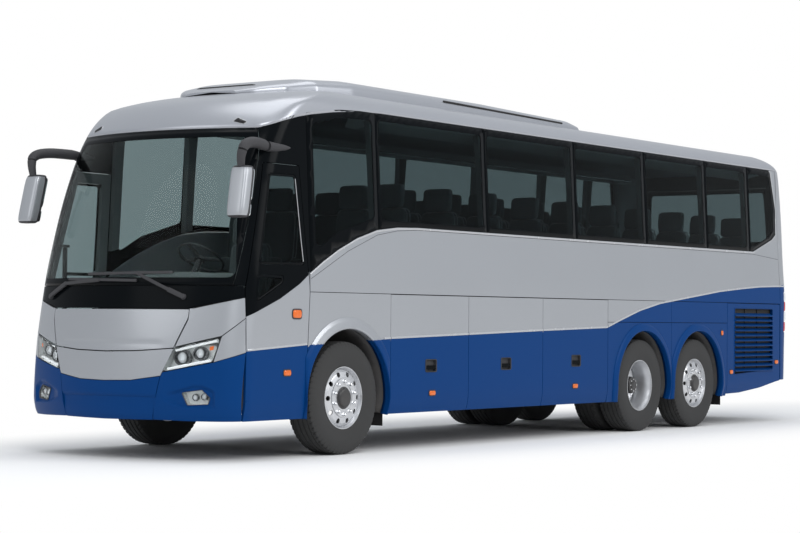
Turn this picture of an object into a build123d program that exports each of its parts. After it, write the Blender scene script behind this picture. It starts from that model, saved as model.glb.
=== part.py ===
"""Three-axle touring coach, in millimetres.

+Z is up, the front faces -Y, +X is the coach's left side, and the origin is on the floor under the middle of
the overall box. Lengths along the coach are given as stations, measured back from the front axle.
"""
import os
from math import asin, cos, hypot, pi, radians, sin, sqrt

from build123d import *

os.makedirs("parts", exist_ok=True)

# --- Driving dimensions -------------------------------------------------------------------------------------
FRONT_AXLE = -3890.0        # y of the front axle
DRIVE_STATION = 5633.0      # drive axle, behind the front axle
TAG_STATION = 6974.0        # tag axle
AXLE_HEIGHT = 522.0         # tyre radius, 295/80 R22.5
WHEEL_X = 1071.0            # middle of an outer tyre
TWIN_SPACING = 335.0
KINGPIN_X = 850.0

SKIRT = 350.0               # underside of the side panels
TUCK = 520.0                # below this the side panels draw in
BELT = 1490.0               # seam over the luggage doors
CANT = 3200.0               # top of the side windows
DECK = 1400.0               # passenger floor
DECK_THICK = 50.0
WALL = 50.0
DOOR = 45.0
GLASS = 8.0
LID = 25.0
GAP = 6.0                   # between panels that move or are separately fixed
NOSE_END = -560.0           # behind this station the sides are straight
TAIL_START = 9250.0         # behind this station the rear corners begin
FRONT_CORNER = 300.0
REAR_CORNER = 330.0
FRONT_BOW = 2450.0
REAR_BOW = 6500.0
BOW_CHORDS = 3              # flat strips in each half of a bowed end
CORNER_CHORDS = 3           # flat strips in each corner
TUMBLE_SLOPE = 90.0 / (CANT - BELT)
FIT = 0.05                  # running fit on a radius


def at(station):
    """The y of a station."""
    return FRONT_AXLE + station


def half_width(height):
    """The outside half width at a height."""
    if height < TUCK:
        return 1228.0 + 22.0 * (height - SKIRT) / (TUCK - SKIRT)
    return 1250.0 - max(0.0, height - BELT) * TUMBLE_SLOPE


# --- Outer form -------------------------------------------------------------------------------------------------
NOSE_LEVELS = (             # height, station of the front
    (SKIRT, -1905), (TUCK, -1930), (900, -1910), (BELT, -1818), (2000, -1700), (2500, -1540), (2940, -1322),
    (CANT, -1045),
)
TAIL_LEVELS = (             # height, station of the rear
    (SKIRT, 9655), (TUCK, 9680), (BELT, 9710), (2700, 9700), (CANT, 9640),
)
ROOF_LEVELS = (             # height, half width, front, rear, lean of the surface from upright in degrees
    (CANT, half_width(CANT), -1045, 9640, 15),
    (3285, 1122, -775, 9520, 40),
    (3345, 1045, -490, 9330, 62),
    (3385, 880, -120, 9000, 80),
    (3410, 520, 500, 8300, 88),
)


def end_points(half, end, sign, inset=0.0):
    """Chord corners (x, y) of one end of the plan, from the middle to the left side, moved in by inset."""
    bow, corner = (FRONT_BOW, FRONT_CORNER) if sign < 0 else (REAR_BOW, REAR_CORNER)
    bow_y = end - sign * bow
    across = half - corner
    corner_y = bow_y + sign * sqrt((bow - corner) ** 2 - across**2)
    spread = asin(across / (bow - corner))
    bow_turns = [spread * i / BOW_CHORDS for i in range(BOW_CHORDS)]
    corner_turns = [spread + (pi / 2 - spread) * i / CORNER_CHORDS for i in range(CORNER_CHORDS + 1)]
    points = [((bow - inset) * sin(turn), bow_y + sign * (bow - inset) * cos(turn)) for turn in bow_turns]
    return points + [(across + (corner - inset) * sin(turn), corner_y + sign * (corner - inset) * cos(turn))
                     for turn in corner_turns]


def flipped(points):
    """The same corners on the right side, in the opposite order and without the middle one."""
    return [(-x, y) for x, y in reversed(points[1:])]


def faceted(rings, flat_sides=False):
    """A closed solid with flat faces between rings of corner points; leaning strips are split into triangles."""
    faces = [Face(Wire.make_polygon(ring)) for ring in (rings[0], rings[-1])]
    for near, far in zip(rings, rings[1:]):
        for i in range(len(near)):
            strip = (near[i - 1], near[i], far[i], far[i - 1])
            if flat_sides:
                faces.append(Face(Wire.make_polygon(strip)))
            else:
                faces.append(Face(Wire.make_polygon(strip[:3])))
                faces.append(Face(Wire.make_polygon((strip[0], *strip[2:]))))
    return Solid(Shell(faces))


def end_form(levels, sign, cut, inset):
    """The nose (sign -1) or tail (sign 1) below the roof as one solid, moved in by inset."""
    rings = []
    for height, end in levels:
        half = half_width(height)
        points = end_points(half, at(end), sign, inset)
        outline = [(inset - half, at(cut)), *flipped(points), *points, (half - inset, at(cut))]
        rings.append([(x, y, height) for x, y in outline])
    return faceted(rings)


def roof_form(inset):
    """The roof above the side windows as one solid, moved in by inset."""
    rings = []
    for height, half, front, rear, lean in ROOF_LEVELS:
        sideways, down = inset * cos(radians(lean)), inset * sin(radians(lean))
        near = end_points(half, at(front), -1, sideways)
        far = end_points(half, at(rear), 1, sideways)
        outline = [*flipped(near), *near, *reversed(far), *reversed(flipped(far))]
        rings.append([(x, y, height - down) for x, y in outline])
    return faceted(rings)


def nose_form(inset):
    return end_form(NOSE_LEVELS, -1, NOSE_END, inset)


def tail_form(inset):
    return end_form(TAIL_LEVELS, 1, TAIL_START, inset)


nose, tail = nose_form(0), tail_form(0)
nose_inside = nose_form(WALL)
nose_wall = nose - nose_inside
nose_door = nose - nose_form(DOOR)
nose_glass = nose - nose_form(GLASS)
nose_lid = nose - nose_form(LID)
tail_wall = tail - tail_form(WALL)
tail_door = tail - tail_form(DOOR)
tail_glass = tail - tail_form(GLASS)
roof_shell = roof_form(0) - roof_form(WALL)
over_screen = nose_form(-16)
wiper_layer = nose_form(-34) - over_screen

# --- Helpers ---------------------------------------------------------------------------------------------------
def placed(points):
    """Points (station, height) as coordinates of Plane.YZ."""
    return [(at(station), height) for station, height in points]


def grown(points, amount):
    """A closed outline moved outwards by amount."""
    count = len(points)
    twice_area = sum(points[i - 1][0] * points[i][1] - points[i][0] * points[i - 1][1] for i in range(count))
    sign = 1 if twice_area > 0 else -1
    lines = []
    for i in range(count):
        (a, b), (c, d) = points[i], points[(i + 1) % count]
        size = hypot(c - a, d - b)
        normal = (sign * (d - b) / size, -sign * (c - a) / size)
        lines.append((normal, normal[0] * a + normal[1] * b + amount))
    moved = []
    for i in range(count):
        (n1, c1), (n2, c2) = lines[i - 1], lines[i]
        cross = n1[0] * n2[1] - n1[1] * n2[0]
        moved.append(((c1 * n2[1] - c2 * n1[1]) / cross, (n1[0] * c2 - n2[0] * c1) / cross))
    return moved


def mirrored(points):
    """An outline in front view with its mirror image."""
    return [points, [(-x, height) for x, height in reversed(points)]]


def side_cut(outlines, side, mode, inner=1000, outer=1400):
    """Extrude outlines (station, height) through one side wall, in the part being built."""
    with BuildSketch(Plane.YZ.offset(inner if side > 0 else -outer)) as profile:
        for outline in outlines:
            Polygon(*placed(outline), align=None)
    extrude(profile.sketch, amount=outer - inner, mode=mode)


def across_cut(outlines, mode):
    """Extrude outlines (station, height) across the whole coach, in the part being built."""
    side_cut(outlines, 1, mode, inner=-1400, outer=1400)


def front_cut(outlines, mode, near=-2100, far=-1480):
    """Extrude outlines (x, height) through the front or rear wall, in the part being built."""
    with BuildSketch(Plane.XZ.offset(-at(far))) as profile:
        for outline in outlines:
            Polygon(*outline, align=None)
    extrude(profile.sketch, amount=far - near, mode=mode)


def slab(x, stations, heights, mode=Mode.ADD):
    """A box between two values of x, two stations and two heights, in the part being built."""
    low, high = sorted(x)
    with Locations(((low + high) / 2, at((stations[0] + stations[1]) / 2), (heights[0] + heights[1]) / 2)):
        Box(high - low, stations[1] - stations[0], heights[1] - heights[0], mode=mode)


def rod(start, end, radius, mode=Mode.ADD, sides=0):
    """A bar from one point to another, round or with flat sides, in the part being built."""
    start, end = Vector(*start), Vector(*end)
    with BuildSketch(Plane(origin=start, z_dir=end - start)) as section:
        if sides:
            RegularPolygon(radius, sides)
        else:
            Circle(radius)
    extrude(section.sketch, amount=(end - start).length, mode=mode)


def side_sheet(side, thickness, stations, heights):
    """A piece of one side wall between two stations and two heights, straight in plan, as a solid."""
    low, high = heights
    outer = [(half_width(height), height) for height in (low, *[z for z in (TUCK, BELT) if low < z < high], high)]
    section = [*outer, *[(x - thickness, height) for x, height in reversed(outer)]]
    with BuildPart() as sheet:
        with BuildSketch(Plane.XZ.offset(-at(stations[1]))):
            Polygon(*[(side * x, height) for x, height in section], align=None)
        extrude(amount=stations[1] - stations[0])
    return sheet.part


def partition(stations, heights):
    """A cross wall or floor between the side walls, clear of them by 6 mm, in the part being built."""
    low, high = heights
    edge = [(half_width(z) - WALL - 6, z) for z in (low, *[z for z in (TUCK, BELT) if low < z < high], high)]
    with BuildSketch(Plane.XZ.offset(-at(stations[1]))) as section:
        Polygon(*edge, *[(-x, height) for x, height in reversed(edge)], align=None)
    extrude(section.sketch, amount=stations[1] - stations[0])


def save(name, shape):
    """Label a finished piece and write its file."""
    shape.label = name
    export_step(shape, f"parts/{name}.step")


# --- Panel lines: (station, height) -----------------------------------------------------------------------------
SCREEN_EDGE = ((-1524, 1530), (-1088, 2940))
GLAZING_TOP = ((-1088, 2940), (-926, 3016), (-784, 3063), (-639, 3098), (-344, 3151), (-41, 3186), (270, CANT))
DOOR_FRONT = ((-1475, 352), (-1445, 1500), (-1147, 2620))
POSTS = (-560, 500, 2380, 4160, 5740, 7260, 8420)
BAY_SEAMS = (670, 2010, 3430, 4810)
DRIVER_DOOR = (*DOOR_FRONT, (-690, 2620), (-585, BELT), (-645, 352))
DRIVER_PANES = (
    ((-1300, 1722), (-1110, 2533), (-740, 2538), (-655, 1728)),
    ((-1345, 1385), (-1325, 1630), (-950, 1630), (-975, 1560)),
)
PASSENGER_DOOR = (*DOOR_FRONT, (-640, 2620), (-640, 352))
PASSENGER_PANE = ((-1370, 760), (-1350, 1560), (-1095, 2520), (-750, 2520), (-750, 760))
ENGINE_DOOR = ((7750, 374), (8105, 381), (8670, 431), (9100, 496), (9235, 512), (9235, 1484), (7750, 1484))
REAR_SKIRT = ((TAIL_START, 514), (9100, 494), (8670, 429), (8105, 379), (7560, 366), (7400, 340))
MASK = ((-2100, 300), (-1475 - GAP, 300), (-1445 - GAP, 1500), (-1453, 1530), (-2100, 1530))
FLAP = ((-688, 988), (-360, 962), (0, 954), (360, 962), (688, 988), (782, 1236), (795, 1280), (795, 1318),
        (-795, 1318), (-795, 1280), (-782, 1236))
FLAP_OPENING = ((-709, 983), (-360, 956), (0, 948), (360, 956), (709, 983), (806, 1230), (806, 1327), (-806, 1327),
                (-806, 1230))
HEADLAMP = ((613, 777), (697, 985), (1100, 1087), (1050, 868))
FOG_LAMP = ((800, 590), (975, 610), (1035, 535), (850, 505))
ENGINE_LID = ((-860, 640), (860, 640), (860, 1430), (-860, 1430))
REAR_WINDOW = ((-930, 2250), (930, 2250), (880, 3010), (-880, 3010))
TAIL_LAMP = ((1040, 1130), (1215, 1130), (1215, 1650), (1040, 1650))
PANE_SILL, PANE_TOP = 2205, 3120
POST_HALF = 60

ARCHES = (                  # station, opening radius, flare radius, first and last station of the panel
    (0.0, 635.0, 745.0, -580.0, 655.0),
    (DRIVE_STATION, 620.0, 708.0, 4830.0, 6303.0),
    (TAG_STATION, 620.0, 708.0, 6303.0, 7725.0),
)
FLARE_PROUD = 25.0
ARCH_SIDES = 28


def bay_outline(index, margin):
    """Luggage door outline with a margin inside its seams."""
    front, rear = BAY_SEAMS[index] + margin, BAY_SEAMS[index + 1] - margin
    return ((front, 352), (rear, 352), (rear, BELT - 2 * margin), (front, BELT - 2 * margin))


def pane_outlines():
    """The side window panes, one between each pair of posts."""
    panes = [((-480, 1900), (-150, 2015), (500 - POST_HALF, PANE_SILL), (500 - POST_HALF, PANE_TOP), (-60, 3110),
              (-480, 3040))]
    for front, rear in zip(POSTS[1:], POSTS[2:]):
        panes.append(((front + POST_HALF, PANE_SILL), (rear - POST_HALF, PANE_SILL),
                      (rear - POST_HALF, PANE_TOP), (front + POST_HALF, PANE_TOP)))
    panes.append(((POSTS[-1] + POST_HALF, PANE_SILL), (8560, PANE_SILL), (9050, 2345), (9140, 2560),
                  (9050, PANE_TOP), (POSTS[-1] + POST_HALF, PANE_TOP)))
    return panes


# --- Side walls -------------------------------------------------------------------------------------------------
NOSE_SIDE = ((NOSE_END, SKIRT), (-750, SKIRT), (-750, 1530), *SCREEN_EDGE, *GLAZING_TOP[1:4], (NOSE_END, 3112))


def side_wall(side, door):
    """Lower panels, arches, pillars and window posts of one side."""
    with BuildPart() as wall:
        add(side_sheet(side, WALL, (NOSE_END, TAIL_START), (SKIRT, CANT)))
        for station, _, flare, first, last in ARCHES:
            with BuildSketch(Plane.YZ.offset(1215 if side > 0 else -1250 - FLARE_PROUD)):
                with Locations((at(station), AXLE_HEIGHT)):
                    RegularPolygon(flare, ARCH_SIDES)
                with Locations((at((first + last) / 2), 850)):
                    Rectangle(last - first, 900, mode=Mode.INTERSECT)
            extrude(amount=35 + FLARE_PROUD)
        with BuildSketch(Plane.YZ.offset(1000 if side > 0 else -1400)):
            for station, opening, _, first, _ in ARCHES:
                with Locations((at(station), AXLE_HEIGHT)):
                    RegularPolygon(opening, ARCH_SIDES)
                low, high = station - 0.97 * opening, station + 0.97 * opening
                Polygon(*placed(((low, 0), (high, 0), (high, 650), (low, 650))), align=None)
        extrude(amount=400, mode=Mode.SUBTRACT)
        below_skirt = ((TAIL_START + 50, 0), (TAIL_START + 50, 520), *REAR_SKIRT[1:], (7400, 0))
        above_top = ((NOSE_END, 3112), *GLAZING_TOP[4:], (270, 3300), (NOSE_END, 3300))
        side_cut([grown(ENGINE_DOOR, GAP), *pane_outlines(), below_skirt, above_top,
                  *[bay_outline(index, 0) for index in range(3)]], side, Mode.SUBTRACT)
        for index in range(3):
            slab((side * 1000, side * 1400), (BAY_SEAMS[index], BAY_SEAMS[index + 1]), (0, 400), Mode.SUBTRACT)
    with BuildPart() as pillar:
        add(nose_wall)
        side_cut([NOSE_SIDE], side, Mode.INTERSECT)
        side_cut([grown(door, GAP)], side, Mode.SUBTRACT)
        with BuildSketch(Plane.YZ.offset(1000 if side > 0 else -1400)):
            with Locations((at(0), AXLE_HEIGHT)):
                RegularPolygon(ARCHES[0][1], ARCH_SIDES)
            Polygon(*placed(((-600, 0), (0, 0), (0, 730), (-600, 730))), align=None)
            with Locations((at(0), 1000)):
                Rectangle(1200, 2000, mode=Mode.INTERSECT)
        extrude(amount=400, mode=Mode.SUBTRACT)
    return wall.part + pillar.part


left_wall = side_wall(1, DRIVER_DOOR)
right_wall = side_wall(-1, PASSENGER_DOOR)
save("left_side", left_wall)

with BuildPart() as windscreen:
    add(nose_glass)
    across_cut([((-2100, 1530), *SCREEN_EDGE, (-2100, 2940))], Mode.INTERSECT)
save("windscreen", windscreen.part)

with BuildPart() as side_windows:
    for side in (1, -1):
        with BuildPart(mode=Mode.PRIVATE) as panes:
            add(side_sheet(side, GLASS, (NOSE_END, TAIL_START), (BELT, CANT)))
            side_cut(pane_outlines(), side, Mode.INTERSECT)
        add(panes.part)
    with BuildPart(mode=Mode.PRIVATE) as rear_pane:
        add(tail_glass)
        front_cut([REAR_WINDOW], Mode.INTERSECT, near=9400, far=9900)
    add(rear_pane.part)
save("side_windows", side_windows.part)


# --- Doors and lids ----------------------------------------------------------------------------------------------
def nose_panel(skin, outlines, side):
    """A piece of the nose's wall with the given side outlines."""
    with BuildPart() as panel:
        add(skin)
        side_cut(outlines, side, Mode.INTERSECT)
    return panel.part


with BuildPart() as driver_door:
    add(nose_panel(nose_door, [DRIVER_DOOR], 1))
    side_cut(DRIVER_PANES, 1, Mode.SUBTRACT)
save("driver_door", driver_door.part)
save("driver_door_glass", nose_panel(nose_glass, DRIVER_PANES, 1))
save("passenger_door_glass", nose_panel(nose_glass, [PASSENGER_PANE], -1))

# Parallel linkage of the passenger door: a turning post with two arms, each ending in an eye
POST = (-1090.0, -1310.0)   # x, station
ARM_REACH = 420.0
ARM_HEIGHTS = (930, 1650)
POST_TOP = 1890.0
ARM_THICK = 30
PIN = 12.0
eye_station = POST[1] + ARM_REACH
with BuildPart() as passenger_door:
    add(nose_panel(nose_door, [PASSENGER_DOOR], -1))
    side_cut([PASSENGER_PANE], -1, Mode.SUBTRACT)
    for height in ARM_HEIGHTS:
        face = -half_width(height) + DOOR
        for low in (height - ARM_THICK / 2 - 21, height + ARM_THICK / 2 + 5):
            slab((face - 20, POST[0] + 24), (eye_station + 148, eye_station + 178), (low, low + 16))
            slab((POST[0] - 24, POST[0] + 24), (eye_station - 24, eye_station + 178), (low, low + 16))
        rod((POST[0], at(eye_station), height - ARM_THICK / 2 - 20),
            (POST[0], at(eye_station), height + ARM_THICK / 2 + 20), PIN)
save("passenger_door", passenger_door.part)

with BuildPart() as door_arm:
    rod((POST[0], at(POST[1]), 405), (POST[0], at(POST[1]), POST_TOP), 22, sides=8)
    rod((POST[0], at(POST[1]), POST_TOP), (POST[0], at(POST[1]), POST_TOP + 30), PIN)
    for height in ARM_HEIGHTS:
        heights = (height - ARM_THICK / 2, height + ARM_THICK / 2)
        slab((POST[0] - 18, POST[0] + 18), (POST[1], eye_station), heights)
        eye = ((POST[0], at(eye_station), heights[0]), (POST[0], at(eye_station), heights[1]))
        rod(*eye, 26, sides=8)
        rod(*eye, PIN + FIT, Mode.SUBTRACT)
    rod((POST[0], at(POST[1]), 405), (POST[0], at(POST[1]), 450), PIN + FIT, Mode.SUBTRACT)
save("door_arm", door_arm.part)

save("right_side", right_wall)

with BuildPart() as post_bracket:
    slab((-1145, POST[0] + 30), (-1400, -1352), (POST_TOP + 5, POST_TOP + 30))
    slab((-1112, POST[0] + 30), (-1400, POST[1] + 30), (POST_TOP + 5, POST_TOP + 30))
    rod((POST[0], at(POST[1]), POST_TOP + 5), (POST[0], at(POST[1]), POST_TOP + 30), PIN + FIT, Mode.SUBTRACT)
    add(right_wall, mode=Mode.SUBTRACT)
save("post_bracket", post_bracket.part)

HANDLE_HEIGHT = 808.0
for index in range(3):
    outline = bay_outline(index, GAP / 2)
    for side, word in ((1, "left"), (-1, "right")):
        with BuildPart() as luggage_door:
            add(side_sheet(side, DOOR, (outline[0][0], outline[1][0]), (outline[0][1], outline[2][1])))
            with BuildSketch(Plane.YZ.offset(1238 if side > 0 else -1300)):
                with Locations((at((outline[0][0] + outline[1][0]) / 2), HANDLE_HEIGHT)):
                    Rectangle(130, 76)
            extrude(amount=62, mode=Mode.SUBTRACT)
        save(f"luggage_door_{word}_{index + 1}", luggage_door.part)

LOUVRES = 12
LOUVRE_PITCH = 67.0
LOUVRE_BOTTOM = 625.0
for side, name in ((1, "grille_door"), (-1, "service_door")):
    with BuildPart() as grille:
        add(side_sheet(side, DOOR, (7750, 9235), (SKIRT, BELT)))
        side_cut([ENGINE_DOOR], side, Mode.INTERSECT)
        slots = []
        for row in range(LOUVRES):
            low = LOUVRE_BOTTOM + row * LOUVRE_PITCH
            slots.append(((7960, low), (9010, low), (9010, low + 42), (7960, low + 42)))
        side_cut(slots, side, Mode.SUBTRACT)
    save(name, grille.part)

with BuildPart() as front_flap:
    add(nose_lid)
    front_cut([FLAP], Mode.INTERSECT)
save("front_flap", front_flap.part)

with BuildPart() as engine_lid:
    add(tail_door)
    front_cut([ENGINE_LID], Mode.INTERSECT, near=9400, far=9900)
save("engine_lid", engine_lid.part)

# --- Front, rear and roof -----------------------------------------------------------------------------------------
with BuildPart() as front_lamps:
    add(nose_wall)
    front_cut([*mirrored(HEADLAMP), *mirrored(FOG_LAMP)], Mode.INTERSECT)
save("front_lamps", front_lamps.part)

with BuildPart() as front_mask:
    add(nose_wall)
    across_cut([MASK], Mode.INTERSECT)
    front_cut([FLAP_OPENING, *mirrored(HEADLAMP), *mirrored(FOG_LAMP)], Mode.SUBTRACT)
save("front_mask", front_mask.part)

with BuildPart() as header:
    add(nose_wall)
    across_cut([((-2100, 2940), *GLAZING_TOP[:4], (NOSE_END, 3112), (NOSE_END, CANT), (-2100, CANT))],
               Mode.INTERSECT)
with BuildPart() as cant_strips:
    for side in (1, -1):
        add(side_sheet(side, WALL, (NOSE_END, 270), (3100, CANT)))
    across_cut([((NOSE_END, 3112), *GLAZING_TOP[4:], (NOSE_END, CANT))], Mode.INTERSECT)
with BuildPart() as roof:
    add(roof_shell)
    slab((-1400, 1400), (-2100, 9900), (3000, CANT), Mode.SUBTRACT)
    add(header.part)
    add(cant_strips.part)
save("roof", roof.part)

with BuildPart() as rear_wall:
    add(tail_wall)
    across_cut([((TAIL_START, 514), (9800, 545), (9800, CANT), (TAIL_START, CANT))], Mode.INTERSECT)
    front_cut([grown(ENGINE_LID, GAP), REAR_WINDOW, *mirrored(TAIL_LAMP)], Mode.SUBTRACT, near=9280, far=9900)
save("rear_wall", rear_wall.part)

with BuildPart() as tail_lamps:
    add(tail_wall)
    front_cut(mirrored(TAIL_LAMP), Mode.INTERSECT, near=9280, far=9900)
save("tail_lamps", tail_lamps.part)

# --- Roof pod -------------------------------------------------------------------------------------------------------
POD_FOOT = ((-540, 3350), (-120, 3394), (500, 3410))
POD_TOP = ((5060, 3410), (5060, 3425), (4700, 3520), (3000, 3560), (600, 3560), (60, 3525), (-330, 3435), (-540, 3362))
POD_SECTION = ((-850, 3300), (850, 3300), (850, 3440), (740, 3545), (600, 3570), (-600, 3570), (-740, 3545),
               (-850, 3440))
with BuildPart() as roof_pod:
    with BuildSketch(Plane.YZ.offset(-900)):
        Polygon(*placed((*POD_FOOT, *POD_TOP)), align=None)
    extrude(amount=1800)
    with BuildSketch(Plane.XZ.offset(-at(5100))):
        Polygon(*POD_SECTION, align=None)
    extrude(amount=5700, mode=Mode.INTERSECT)
    with BuildSketch(Plane.XY.offset(3300)):
        with Locations((0, at(2260))):
            Rectangle(1700, 5600)
    extrude(amount=400, mode=Mode.INTERSECT)
save("roof_pod", roof_pod.part)

# --- Floor, steps and luggage bay ------------------------------------------------------------------------------------
STAIR = ((-1170, 360), (-930, 360), (-930, 610), (-680, 610), (-680, 860), (-430, 860), (-430, 960), (-350, 960),
         (-350, 1000), (-470, 1000), (-470, 900), (-720, 900), (-720, 650), (-970, 650), (-970, 400), (-1170, 400))
PLATFORM = 1000.0           # floor at the entrance and under the driver's feet
WHEEL_TOP = 1165.0          # underside of the shelf over the front wheels
with BuildPart() as entrance_floor:
    slab((-360, 1150), (-1440, -700), (PLATFORM - 40, PLATFORM))
    slab((-940, 940), (-1590, -1440), (PLATFORM - 40, PLATFORM))
    with BuildSketch(Plane.XZ.offset(-at(-700))):
        Polygon(*STAIR, align=None)
    extrude(amount=740)
    slab((-370, -350), (-1440, -700), (400, PLATFORM))
    slab((-940, -350), (-1464, -1440), (400, PLATFORM))
    rod((POST[0], at(POST[1]), 395), (POST[0], at(POST[1]), 445), PIN)
save("entrance_floor", entrance_floor.part)

with BuildPart() as floor:
    partition((NOSE_END, 9240), (DECK - DECK_THICK, DECK))
    slab((-1188, 200), (-700, NOSE_END), (DECK - DECK_THICK, DECK))
    partition((NOSE_END - 24, NOSE_END), (WHEEL_TOP, DECK))
    partition((-700, NOSE_END), (WHEEL_TOP, WHEEL_TOP + 30))
    partition((-700, -676), (410, WHEEL_TOP + 30))
    slab((-1188, 200), (-700, -676), (WHEEL_TOP, DECK))
    partition((660, 4840), (372, 410))
    for station in BAY_SEAMS:
        partition((station - 10, station + 16), (372, DECK))
    partition((7726, 7746), (460, DECK))
save("floor", floor.part)

# --- Chassis, engine and axles ----------------------------------------------------------------------------------------
RAIL_HEIGHTS = (640, 800)
FRONT_RAILS = ((-350, -280), (360, 440))
MAIN_RAILS = ((-440, -360), (360, 440))
with BuildPart() as chassis_rails:
    for x in FRONT_RAILS:
        slab(x, (-1560, -700), RAIL_HEIGHTS)
    for x in MAIN_RAILS:
        for stations in ((-676, 660), (4836, 7726), (7746, 9450)):
            slab(x, stations, RAIL_HEIGHTS)
save("chassis_rails", chassis_rails.part)

with BuildPart() as cross_members:
    for x in FRONT_RAILS:
        slab(x, (-780, -700), (800, 960))
        slab(x, (-1440, -1380), (800, 960))
    for x in MAIN_RAILS:
        for station in (-420, 420, 4900, 6303, 7640):
            slab(x, (station - 40, station + 40), (800, DECK - DECK_THICK))
    slab((-280, 360), (-1535, -1480), (660, 780))
    slab((-280, 360), (-780, -700), (660, 780))
    for station in (-600, 600, 4900, 6303, 7660, 7800, 9400):
        slab((-360, 360), (station - 35, station + 35), (660, 780))
save("cross_members", cross_members.part)

with BuildPart() as engine:
    slab((-440, 440), (8000, 9200), (800, 1310))
save("engine", engine.part)

BELLOWS_RADIUS = 115.0
with BuildPart() as front_axle:
    with BuildSketch(Plane.XZ.offset(-at(60))):
        Polygon((-800, 460), (-700, 340), (700, 340), (800, 460), (800, 580), (720, 580), (640, 460), (-640, 460),
                (-720, 580), (-800, 580), align=None)
    extrude(amount=120)
    for x in (-1, 1):
        rod((x * KINGPIN_X, at(0), 450), (x * KINGPIN_X, at(0), 594), 52, sides=8)
        slab((x * 780, x * 850), (-40, 40), (460, 580))
        rod((x * KINGPIN_X, at(0), 440), (x * KINGPIN_X, at(0), 604), 22 + FIT, Mode.SUBTRACT)
        rod((x * 400, at(0), 455), (x * 400, at(0), 640), BELLOWS_RADIUS, sides=8)
save("front_axle", front_axle.part)

SPINDLE = 50.0
AXLES = (                   # name, station, reach of the housing, tip of the spindle, radius of the middle housing
    ("drive_axle", DRIVE_STATION, 540, 1125, 215),
    ("tag_axle", TAG_STATION, 860, 1150, 0),
)
for name, station, reach, tip, bulge in AXLES:
    with BuildPart() as axle:
        rod((-reach, at(station), AXLE_HEIGHT), (reach, at(station), AXLE_HEIGHT), 72, sides=8)
        rod((-tip, at(station), AXLE_HEIGHT), (tip, at(station), AXLE_HEIGHT), SPINDLE)
        if bulge:
            rod((-110, at(station), AXLE_HEIGHT), (110, at(station), AXLE_HEIGHT), bulge, sides=12)
        for x in (-400, 400):
            slab((x - 40, x + 40), (station - 370, station + 370), (430, 510))
            for offset_y in (-250, 250):
                rod((x, at(station + offset_y), 505), (x, at(station + offset_y), 640), BELLOWS_RADIUS, sides=8)
    save(name, axle.part)

# --- Steering knuckles and wheels ---------------------------------------------------------------------------------------
for side, word in ((1, "left"), (-1, "right")):
    with BuildPart() as knuckle:
        for low in (404, 600):
            rod((side * KINGPIN_X, at(0), low), (side * KINGPIN_X, at(0), low + 40), 52, sides=8)
            slab((side * 850, side * 940), (-52, 52), (low, low + 40))
        slab((side * 910, side * 940), (-70, 70), (404, 640))
        rod((side * KINGPIN_X, at(0), 404), (side * KINGPIN_X, at(0), 640), 22)
        rod((side * 930, at(0), AXLE_HEIGHT), (side * 1150, at(0), AXLE_HEIGHT), SPINDLE)
    save(f"knuckle_{word}", knuckle.part)

TREAD_SIDES = 40            # flats round a tyre's tread; the lowest one lies on the road
RIM_SIDES = 20              # flats round a rim, two for each hand hole
# Profiles as x from the middle of the tyre and distance from the axle to the flats
TYRE_OUTSIDE = ((-149, 420), (-124, AXLE_HEIGHT), (124, AXLE_HEIGHT), (149, 420))
BARREL_OUTSIDE = ((-130, 289), (130, 289))
BARREL_BORE = ((-130, 271), (130, 271))
DISC_OUTSIDE = ((70, 275), (98, 275), (126, 186), (130, 112), (156, 100))
DISC_INSIDE = ((70, 262), (104, 180))
HUB_OUTSIDE = ((-60, 106), (128, 106))
# The disc shared by a drive pair and the hub that carries it, from midway between the tyres
TWIN_DISC = ((-64, 275), (-20, 180), (20, 180), (64, 275))
TWIN_HUB = ((-240, 108), (226, 116), (240, 60))
HAND_HOLES = 10


def stack(section, centre_x, sides=RIM_SIDES, mode=Mode.ADD):
    """A flat-sided turned form round the axle from a profile (x, distance), in the part being built."""
    rings = []
    for x, distance in section:
        corner = distance / cos(pi / sides)
        turns = [pi * (2 * i + 1) / sides for i in range(sides)]
        rings.append([(centre_x + x, corner * cos(turn), corner * sin(turn)) for turn in turns])
    add(faceted(rings, flat_sides=True), mode=mode)


def tyre_form(centre_x):
    """One tyre on its own."""
    with BuildPart(mode=Mode.PRIVATE) as one:
        stack(TYRE_OUTSIDE, centre_x, TREAD_SIDES)
        stack(((-149, 290), (149, 290)), centre_x, mode=Mode.SUBTRACT)
    return one.part


def barrel_form(centre_x):
    """The barrel of one rim on its own."""
    with BuildPart(mode=Mode.PRIVATE) as one:
        stack(BARREL_OUTSIDE, centre_x)
        stack(BARREL_BORE, centre_x, mode=Mode.SUBTRACT)
    return one.part


def hand_holes(near, far, radius):
    """Cut the ring of hand holes between two values of x, in the part being built."""
    with BuildSketch(Plane.YZ.offset(near)) as holes:
        with PolarLocations(radius, HAND_HOLES):
            Rectangle(44, 50)
    extrude(holes.sketch, amount=far - near, mode=Mode.SUBTRACT)


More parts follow.
